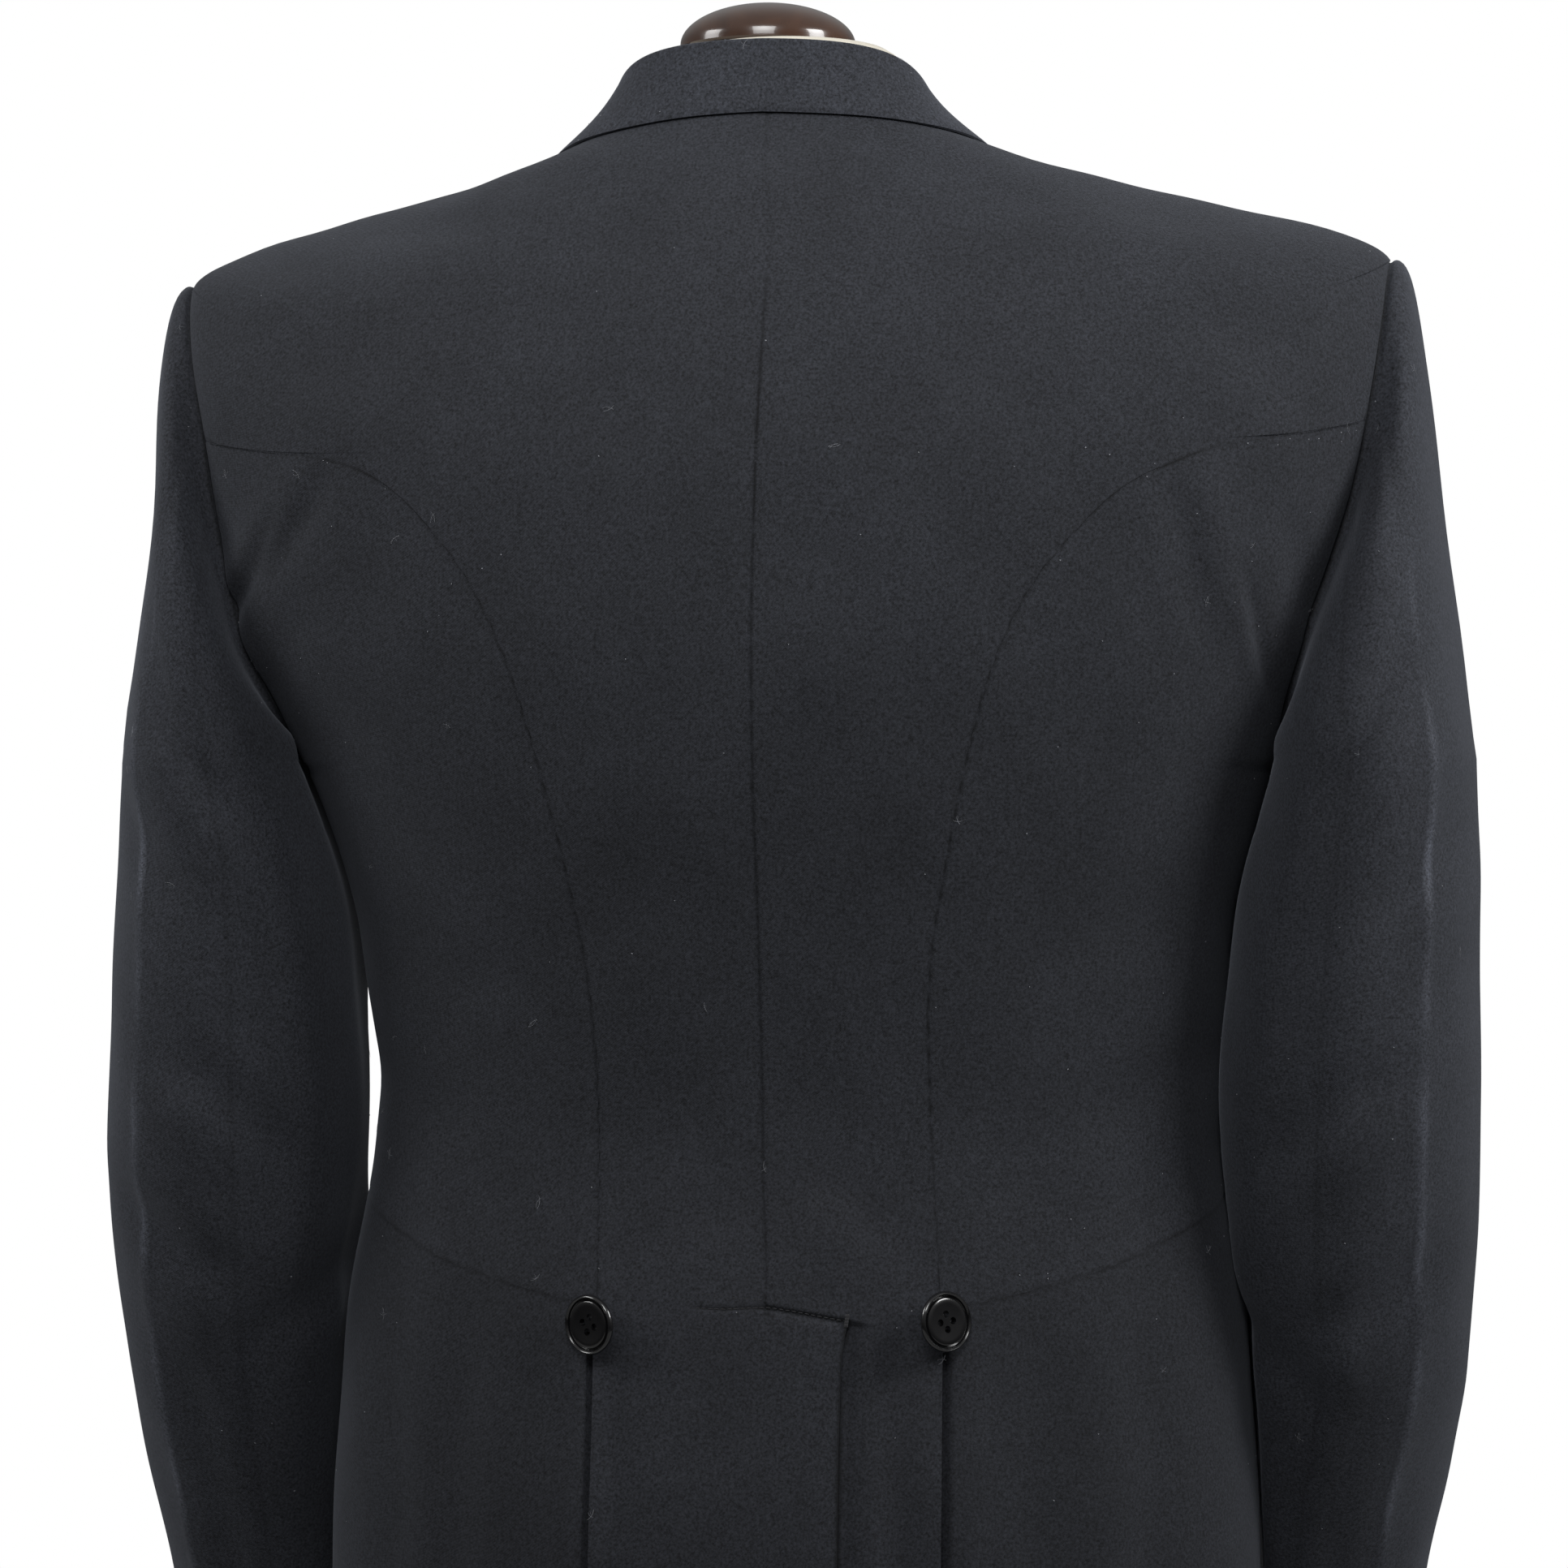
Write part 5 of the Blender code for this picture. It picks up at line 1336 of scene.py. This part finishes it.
def stitches(name, lines, material, spacing, length, radius):
    """one object of stitches along lines of points"""
    builder = bmesh.new()
    for line in lines:
        verts = [builder.verts.new(point) for point in line]
        for a, b in zip(verts, verts[1:]):
            builder.edges.new((a, b))
    mesh = bpy.data.meshes.new(name)
    builder.to_mesh(mesh)
    builder.free()
    item = bpy.data.objects.new(name, mesh)
    bpy.context.collection.objects.link(item)
    tree, inputs = stitch_tree(material)
    modifier = item.modifiers.new("stitches", "NODES")
    modifier.node_group = tree
    for key, value in (("Spacing", spacing), ("Length", length), ("Radius", radius)):
        modifier[inputs[key]] = value
    plain_mesh(item)
    item.data.shade_smooth()
    return item


def on_back(places, lift):
    """points just above the back, given as x and level"""
    x = np.array([p[0] for p in places])
    level = np.array([p[1] for p in places])
    angle = back_angle(x, level)
    base = coat_point(angle, level)
    relief = body_relief(base, angle, level)
    return [Vector(p) for p in lean(base + coat_normal(angle, level) * (relief + lift)[:, None])]


def fine_line(places, step=0.001):
    """a table of places as a fine run of places"""
    spots = np.array(places)
    gaps = np.linalg.norm(np.diff(spots, axis=0), axis=1)
    at = np.concatenate([[0.0], np.cumsum(gaps)])
    fine = np.arange(0.0, at[-1], step)
    return np.stack([np.interp(fine, at, spots[:, 0]), np.interp(fine, at, spots[:, 1])], axis=-1)


vent_line = fine_line(VENT_LINE)
second_line = fine_line(((0.0267, 1.0408), (0.0113, 1.0391), (0.0020, 1.0386)))
vent_stitches = stitches(
    "vent-stitches", [on_back(vent_line, -0.0003), on_back(second_line, -0.0001)], thread_black, 0.0024, 0.0018, 0.00017,
)
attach(vent_stitches, "root")
tack_lines = [on_back([(-0.0296 - k * 0.00035, 1.0330), (-0.0292 - k * 0.00035, 1.0296)], 0.0003) for k in range(4)]
bar_tack = stitches("bar-tack", tack_lines, thread_black, 0.0009, 0.0016, 0.00024)
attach(bar_tack, "root")

# The lint on the cloth
# Loose pale fibres and specks of fluff that dark worsted picks up, lying on the backs, the
# side bodies, the skirts and the sleeves.
fluff = new_material("pale fibre")
plain(fluff, (0.30, 0.31, 0.34), 0.9)


def lint_tree(material, seed):
    """a bent fibre on every point, lying along the cloth at a random turn and size"""
    tree = bpy.data.node_groups.new("lint", "GeometryNodeTree")
    tree.interface.new_socket("Geometry", in_out="INPUT", socket_type="NodeSocketGeometry")
    inputs = {}
    for name in ("Shortest", "Longest", "Radius"):
        inputs[name] = tree.interface.new_socket(name, in_out="INPUT", socket_type="NodeSocketFloat").identifier
    tree.interface.new_socket("Geometry", in_out="OUTPUT", socket_type="NodeSocketGeometry")
    group_in = tree.nodes.new("NodeGroupInput")
    group_out = tree.nodes.new("NodeGroupOutput")
    bend = tree.nodes.new("GeometryNodeCurveQuadraticBezier")
    bend.inputs["Resolution"].default_value = 8
    bend.inputs["Start"].default_value = (-0.5, 0.0, 0.0)
    bend.inputs["Middle"].default_value = (0.05, 0.24, 0.0)
    bend.inputs["End"].default_value = (0.45, -0.05, 0.0)
    ring = tree.nodes.new("GeometryNodeCurvePrimitiveCircle")
    ring.inputs["Resolution"].default_value = 4
    tube = tree.nodes.new("GeometryNodeCurveToMesh")
    facing = tree.nodes.new("GeometryNodeInputNormal")
    lay = tree.nodes.new("FunctionNodeAlignRotationToVector")
    lay.axis = "Z"
    spin = tree.nodes.new("FunctionNodeRotateRotation")
    spin.rotation_space = "LOCAL"
    turn = tree.nodes.new("FunctionNodeRandomValue")
    turn.data_type = "FLOAT_VECTOR"
    turn.inputs["Min"].default_value = (0.0, 0.0, 0.0)
    turn.inputs["Max"].default_value = (0.0, 0.0, 6.283)
    turn.inputs["Seed"].default_value = seed
    euler = tree.nodes.new("FunctionNodeEulerToRotation")
    size = tree.nodes.new("FunctionNodeRandomValue")
    size.data_type = "FLOAT"
    size.inputs["Seed"].default_value = seed + 1
    place = tree.nodes.new("GeometryNodeInstanceOnPoints")
    real = tree.nodes.new("GeometryNodeRealizeInstances")
    paint = tree.nodes.new("GeometryNodeSetMaterial")
    paint.inputs["Material"].default_value = material
    wire = tree.links.new
    wire(bend.outputs["Curve"], tube.inputs["Curve"])
    wire(group_in.outputs["Radius"], ring.inputs["Radius"])
    wire(ring.outputs["Curve"], tube.inputs["Profile Curve"])
    wire(facing.outputs["Normal"], lay.inputs["Vector"])
    wire(lay.outputs["Rotation"], spin.inputs["Rotation"])
    wire(turn.outputs[0], euler.inputs[0])
    wire(euler.outputs[0], spin.inputs["Rotate By"])
    low = next(socket for socket in size.inputs if socket.name == "Min" and socket.enabled)
    high = next(socket for socket in size.inputs if socket.name == "Max" and socket.enabled)
    wire(group_in.outputs["Shortest"], low)
    wire(group_in.outputs["Longest"], high)
    wire(group_in.outputs["Geometry"], place.inputs["Points"])
    wire(tube.outputs["Mesh"], place.inputs["Instance"])
    wire(spin.outputs["Rotation"], place.inputs["Rotation"])
    scale = next(socket for socket in size.outputs if socket.enabled)
    wire(scale, place.inputs["Scale"])
    wire(place.outputs["Instances"], real.inputs["Geometry"])
    wire(real.outputs["Geometry"], paint.inputs["Geometry"])
    wire(paint.outputs["Geometry"], group_out.inputs["Geometry"])
    return tree, inputs


def lint(name, item_names, count, seed, shortest, longest, radius):
    """fibres on randomly chosen faces of the cloth's outer side"""
    chance = random.Random(seed)
    builder = bmesh.new()
    for _ in range(count):
        mesh = bpy.data.objects[chance.choice(item_names)].data
        outside = len(mesh.polygons) // 2 - 400
        face = mesh.polygons[chance.randrange(outside)]
        corner = face.loop_start
        normal = Vector(mesh.corner_normals[corner].vector)
        side = normal.orthogonal().normalized() * 0.00005
        over = normal.cross(side)
        middle = Vector(face.center) + normal * 0.00012
        builder.faces.new([builder.verts.new(middle + side), builder.verts.new(middle + over), builder.verts.new(middle - side)])
    mesh = bpy.data.meshes.new(name)
    builder.to_mesh(mesh)
    builder.free()
    item = bpy.data.objects.new(name, mesh)
    bpy.context.collection.objects.link(item)
    tree, inputs = lint_tree(fluff, seed)
    modifier = item.modifiers.new("lint", "NODES")
    modifier.node_group = tree
    for key, value in (("Shortest", shortest), ("Longest", longest), ("Radius", radius)):
        modifier[inputs[key]] = value
    plain_mesh(item)
    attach(item, "root")


LINT_GROUND = (
    "back-left", "back-right", "side-body-left", "side-body-right", "skirt-left", "skirt-right",
    "sleeve-top-left", "sleeve-top-right", "sleeve-under-left", "sleeve-under-right", "turned-collar",
)
lint("lint-fibres", LINT_GROUND, 110, 5, 0.0014, 0.0052, 0.0085)
lint("lint-specks", LINT_GROUND, 330, 8, 0.00022, 0.00055, 0.24)

# The form's torso
# A padded body with a short neck, covered in cream cotton jersey; it shows only at the neck,
# at the open front and from below.
jersey = new_material("cream jersey")
jersey_shader = plain(jersey, (0.71, 0.665, 0.56), 0.88, Sheen_Weight=0.15)
jersey_knit = add_node(jersey, "ShaderNodeTexNoise", Scale=1100.0, Detail=2.0)
jersey_bump = add_node(jersey, "ShaderNodeBump", Strength=0.25, Distance=0.0002)
jersey_place = add_node(jersey, "ShaderNodeTexCoord")
link(jersey, jersey_place, "Object", jersey_knit, "Vector")
link(jersey, jersey_knit, "Fac", jersey_bump, "Height")
link(jersey, jersey_bump, "Normal", jersey_shader, "Normal")
FORM_BOTTOM = 0.875
FORM_PLATE_X = 0.200
FORM_GAP = (
    (0.87, 0.017), (1.03, 0.016), (1.17, 0.0125), (1.29, 0.0085), (1.385, 0.0058), (1.43, 0.0042),
    (1.53, 0.0040), (1.58, 0.0056),
)
NECK_RINGS = (
    (1.465, 0.0595), (1.475, 0.0568), (1.485, 0.0545), (1.497, 0.0528), (1.506, 0.0515), (1.511, 0.0499),
    (1.5155, 0.0465), (1.519, 0.0428), (1.5212, 0.0392),
)


def make_form():
    count = 128
    turns = 2.0 * math.pi * np.arange(count) / count
    folded = np.where(turns > math.pi, 2.0 * math.pi - turns, turns)
    side = np.where(turns > math.pi, -1.0, 1.0)
    rings = []
    for inward, height in ((0.060, FORM_BOTTOM), (0.030, FORM_BOTTOM + 0.0005), (0.020, FORM_BOTTOM + 0.006)):
        ring = coat_point(folded, np.full(count, 0.90)) - coat_normal(folded, np.full(count, 0.90)) * inward
        ring[:, 0] = np.abs(ring[:, 0]) * side
        ring[:, 2] = height
        rings.append(ring)
    for height in np.linspace(0.90, 1.560, 90):
        level = np.full(count, height)
        gap = smooth(FORM_GAP, level) + 0.004 * np.clip((np.degrees(folded) - 95.0) / 20.0, 0.0, 1.0)
        ring = coat_point(folded, level) - coat_normal(folded, level) * gap[:, None]
        over = (ring[:, 0] - FORM_PLATE_X) / 0.010
        eased = FORM_PLATE_X + 0.010 * (over - np.log1p(np.exp(np.clip(over, -40, 40))))
        ring[:, 0] = np.where(height > 1.2, eased, ring[:, 0])
        ring[:, 0] = np.maximum(ring[:, 0], 0.0) * side + 0.4 * NECK_LEAN * ease(1.43, 1.475, level)
        rings.append(ring)
    for height, radius in NECK_RINGS:
        rings.append(np.stack([0.4 * NECK_LEAN + radius * np.sin(turns), radius * 1.05 * np.cos(turns), np.full(count, height)], -1))
    builder = bmesh.new()
    grid = [[builder.verts.new(tuple(p)) for p in ring] for ring in rings]
    for low, high in zip(grid, grid[1:]):
        for k in range(count):
            j = (k + 1) % count
            builder.faces.new((low[k], low[j], high[j], high[k]))
    builder.faces.new(grid[0])
    builder.faces.new(grid[-1])
    bmesh.ops.recalc_face_normals(builder, faces=builder.faces)
    return finished("padded-form", builder, jersey, 60.0)


torso = make_form()
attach(torso, "root")
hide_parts("form_torso")

# The neck cap
# A low dome of turned wood, stained dark brown and varnished.
varnish = new_material("varnished wood")
varnish_shader = plain(varnish, (0.050, 0.023, 0.014), 0.22, Coat_Weight=0.8, Coat_Roughness=0.05)
wood_grain = add_node(varnish, "ShaderNodeTexNoise", Scale=60.0, Detail=6.0, Distortion=1.2)
wood_ramp = add_node(varnish, "ShaderNodeValToRGB")
wood_ramp.color_ramp.elements[0].color = (0.020, 0.009, 0.006, 1.0)
wood_ramp.color_ramp.elements[1].color = (0.085, 0.038, 0.020, 1.0)
wood_place = add_node(varnish, "ShaderNodeTexCoord")
wood_stretch = add_node(varnish, "ShaderNodeMapping")
wood_stretch.inputs["Scale"].default_value = (1.0, 0.25, 1.0)
link(varnish, wood_place, "Object", wood_stretch, "Vector")
link(varnish, wood_stretch, "Vector", wood_grain, "Vector")
link(varnish, wood_grain, "Fac", wood_ramp, "Fac")
link(varnish, wood_ramp, "Color", varnish_shader, "Base Color")
CAP_RADIUS = 0.0350
CAP_PLACE = (0.0112, 0.0, 1.5222)
CAP_HEIGHT = 0.0185
cap_profile = [(0.0, 0.0), (CAP_RADIUS - 0.001, 0.0), (CAP_RADIUS, 0.0008), (CAP_RADIUS, 0.0022)]
for k in range(1, 24):
    turn = math.pi / 2 * k / 24
    cap_profile.append((CAP_RADIUS * math.cos(turn), 0.0022 + (CAP_HEIGHT - 0.0022) * math.sin(turn)))
cap_profile.append((0.0, CAP_HEIGHT))
cap = finished("neck-cap", turned(cap_profile, 96), varnish)
cap.data.transform(Matrix.Translation(CAP_PLACE))
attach(cap, "root")
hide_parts("neck_cap")

# The stand
# A round steel pole on a weighted round foot, both painted satin black.
iron = new_material("satin black paint")
iron_shader = plain(iron, (0.020, 0.020, 0.022), 0.42)
iron_noise = add_node(iron, "ShaderNodeTexNoise", Scale=300.0, Detail=3.0)
iron_bump = add_node(iron, "ShaderNodeBump", Strength=0.15, Distance=0.0002)
iron_place = add_node(iron, "ShaderNodeTexCoord")
link(iron, iron_place, "Object", iron_noise, "Vector")
link(iron, iron_noise, "Fac", iron_bump, "Height")
link(iron, iron_bump, "Normal", iron_shader, "Normal")
POLE_RADIUS = 0.016
BASE_RADIUS = 0.190
BASE_HEIGHT = 0.030
pole_profile = (
    (0.0, BASE_HEIGHT), (POLE_RADIUS, BASE_HEIGHT), (POLE_RADIUS, FORM_BOTTOM), (0.0, FORM_BOTTOM),
)
base_profile = (
    (0.0, 0.0), (BASE_RADIUS - 0.001, 0.0), (BASE_RADIUS, 0.001), (BASE_RADIUS, 0.009),
    (BASE_RADIUS - 0.0015, 0.0105), (BASE_RADIUS * 0.94, 0.0155), (BASE_RADIUS * 0.60, 0.0202),
    (BASE_RADIUS * 0.30, 0.0240), (BASE_RADIUS * 0.23, 0.0268), (BASE_RADIUS * 0.21, BASE_HEIGHT), (0.0, BASE_HEIGHT),
)
for name, node, profile, sides in (("steel-pole", "pole", pole_profile, 64), ("round-foot", "base", base_profile, 160)):
    part = finished(name, turned(profile, sides), iron, 50.0)
    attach(part, "root")
    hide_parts(node)

# Floor, light and camera
# A plain pale floor, a white studio with soft light from above, and the photo's own view.
FLOOR_RADIUS = 2.8
floor_paint = new_material("pale floor")
plain(floor_paint, (0.80, 0.80, 0.79), 0.75)
floor_mesh = bmesh.new()
bmesh.ops.create_circle(floor_mesh, cap_ends=True, segments=96, radius=FLOOR_RADIUS)
floor = finished("floor", floor_mesh, floor_paint)

world = bpy.data.worlds.new("studio")
bpy.context.scene.world = world
world.use_nodes = True
sky = world.node_tree
# the direction in which the lit white backdrop stands behind the coat
BACKDROP = (0.1045, -0.9945, 0.0)


def sky_map(source, low, high, start, end):
    """spread a value of the sky from one range to another"""
    node = sky.nodes.new("ShaderNodeMapRange")
    node.interpolation_type = "SMOOTHSTEP"
    for name, value in (("From Min", low), ("From Max", high), ("To Min", start), ("To Max", end)):
        node.inputs[name].default_value = value
    sky.links.new(source, node.inputs["Value"])
    return node.outputs["Result"]


sky_place = sky.nodes.new("ShaderNodeTexCoord")
sky_split = sky.nodes.new("ShaderNodeSeparateXYZ")
sky_facing = sky.nodes.new("ShaderNodeVectorMath")
sky_facing.operation = "DOT_PRODUCT"
sky_facing.inputs[1].default_value = BACKDROP
sky.links.new(sky_place.outputs["Generated"], sky_split.inputs["Vector"])
sky.links.new(sky_place.outputs["Generated"], sky_facing.inputs[0])
room_light = sky_map(sky_split.outputs["Z"], -0.30, 0.85, 0.021, 0.35)
backdrop_light = sky_map(sky_facing.outputs["Value"], 0.950, 0.966, 0.0, 1.0)
sky_sum = sky.nodes.new("ShaderNodeMath")
sky_sum.operation = "MAXIMUM"
sky.links.new(room_light, sky_sum.inputs[0])
sky.links.new(backdrop_light, sky_sum.inputs[1])
sky.links.new(sky_sum.outputs[0], sky.nodes["Background"].inputs["Strength"])
sky.nodes["Background"].inputs["Color"].default_value = (1.0, 1.0, 1.0, 1.0)


def area_light(name, place, aim, size, power, spread):
    """a square soft light aimed at a point, with a grid that narrows its beam to some degrees"""
    lamp = bpy.data.lights.new(name, "AREA")
    lamp.size = size
    lamp.energy = power
    lamp.spread = math.radians(spread)
    item = bpy.data.objects.new(name, lamp)
    item.location = place
    item.rotation_euler = (Vector(aim) - Vector(place)).to_track_quat("-Z", "Y").to_euler()
    bpy.context.collection.objects.link(item)


area_light("overhead", (0.0, 0.95, 1.95), (0.0, 0.05, 1.42), 0.5, 1.15, 70.0)
area_light("left", (1.35, 0.42, 1.95), (0.22, 0.05, 1.30), 0.6, 1.7, 80.0)
area_light("right", (-1.35, 0.42, 1.95), (-0.22, 0.05, 1.30), 0.6, 3.3, 80.0)

AIM = Vector((-0.0078, 0.12, 1.231))
DISTANCE = 1.6
AZIMUTH = math.radians(186.0)
FRAME_WIDTH = 0.5796
camera = bpy.data.cameras.new("camera")
camera.sensor_width = 36.0
camera.lens = 36.0 * DISTANCE / FRAME_WIDTH
camera_object = bpy.data.objects.new("camera", camera)
camera_object.location = AIM + DISTANCE * Vector((math.sin(AZIMUTH), -math.cos(AZIMUTH), 0.0))
camera_object.rotation_euler = (AIM - camera_object.location).to_track_quat("-Z", "Y").to_euler()
bpy.context.collection.objects.link(camera_object)
bpy.context.scene.camera = camera_object
bpy.context.scene.view_settings.view_transform = "Standard"
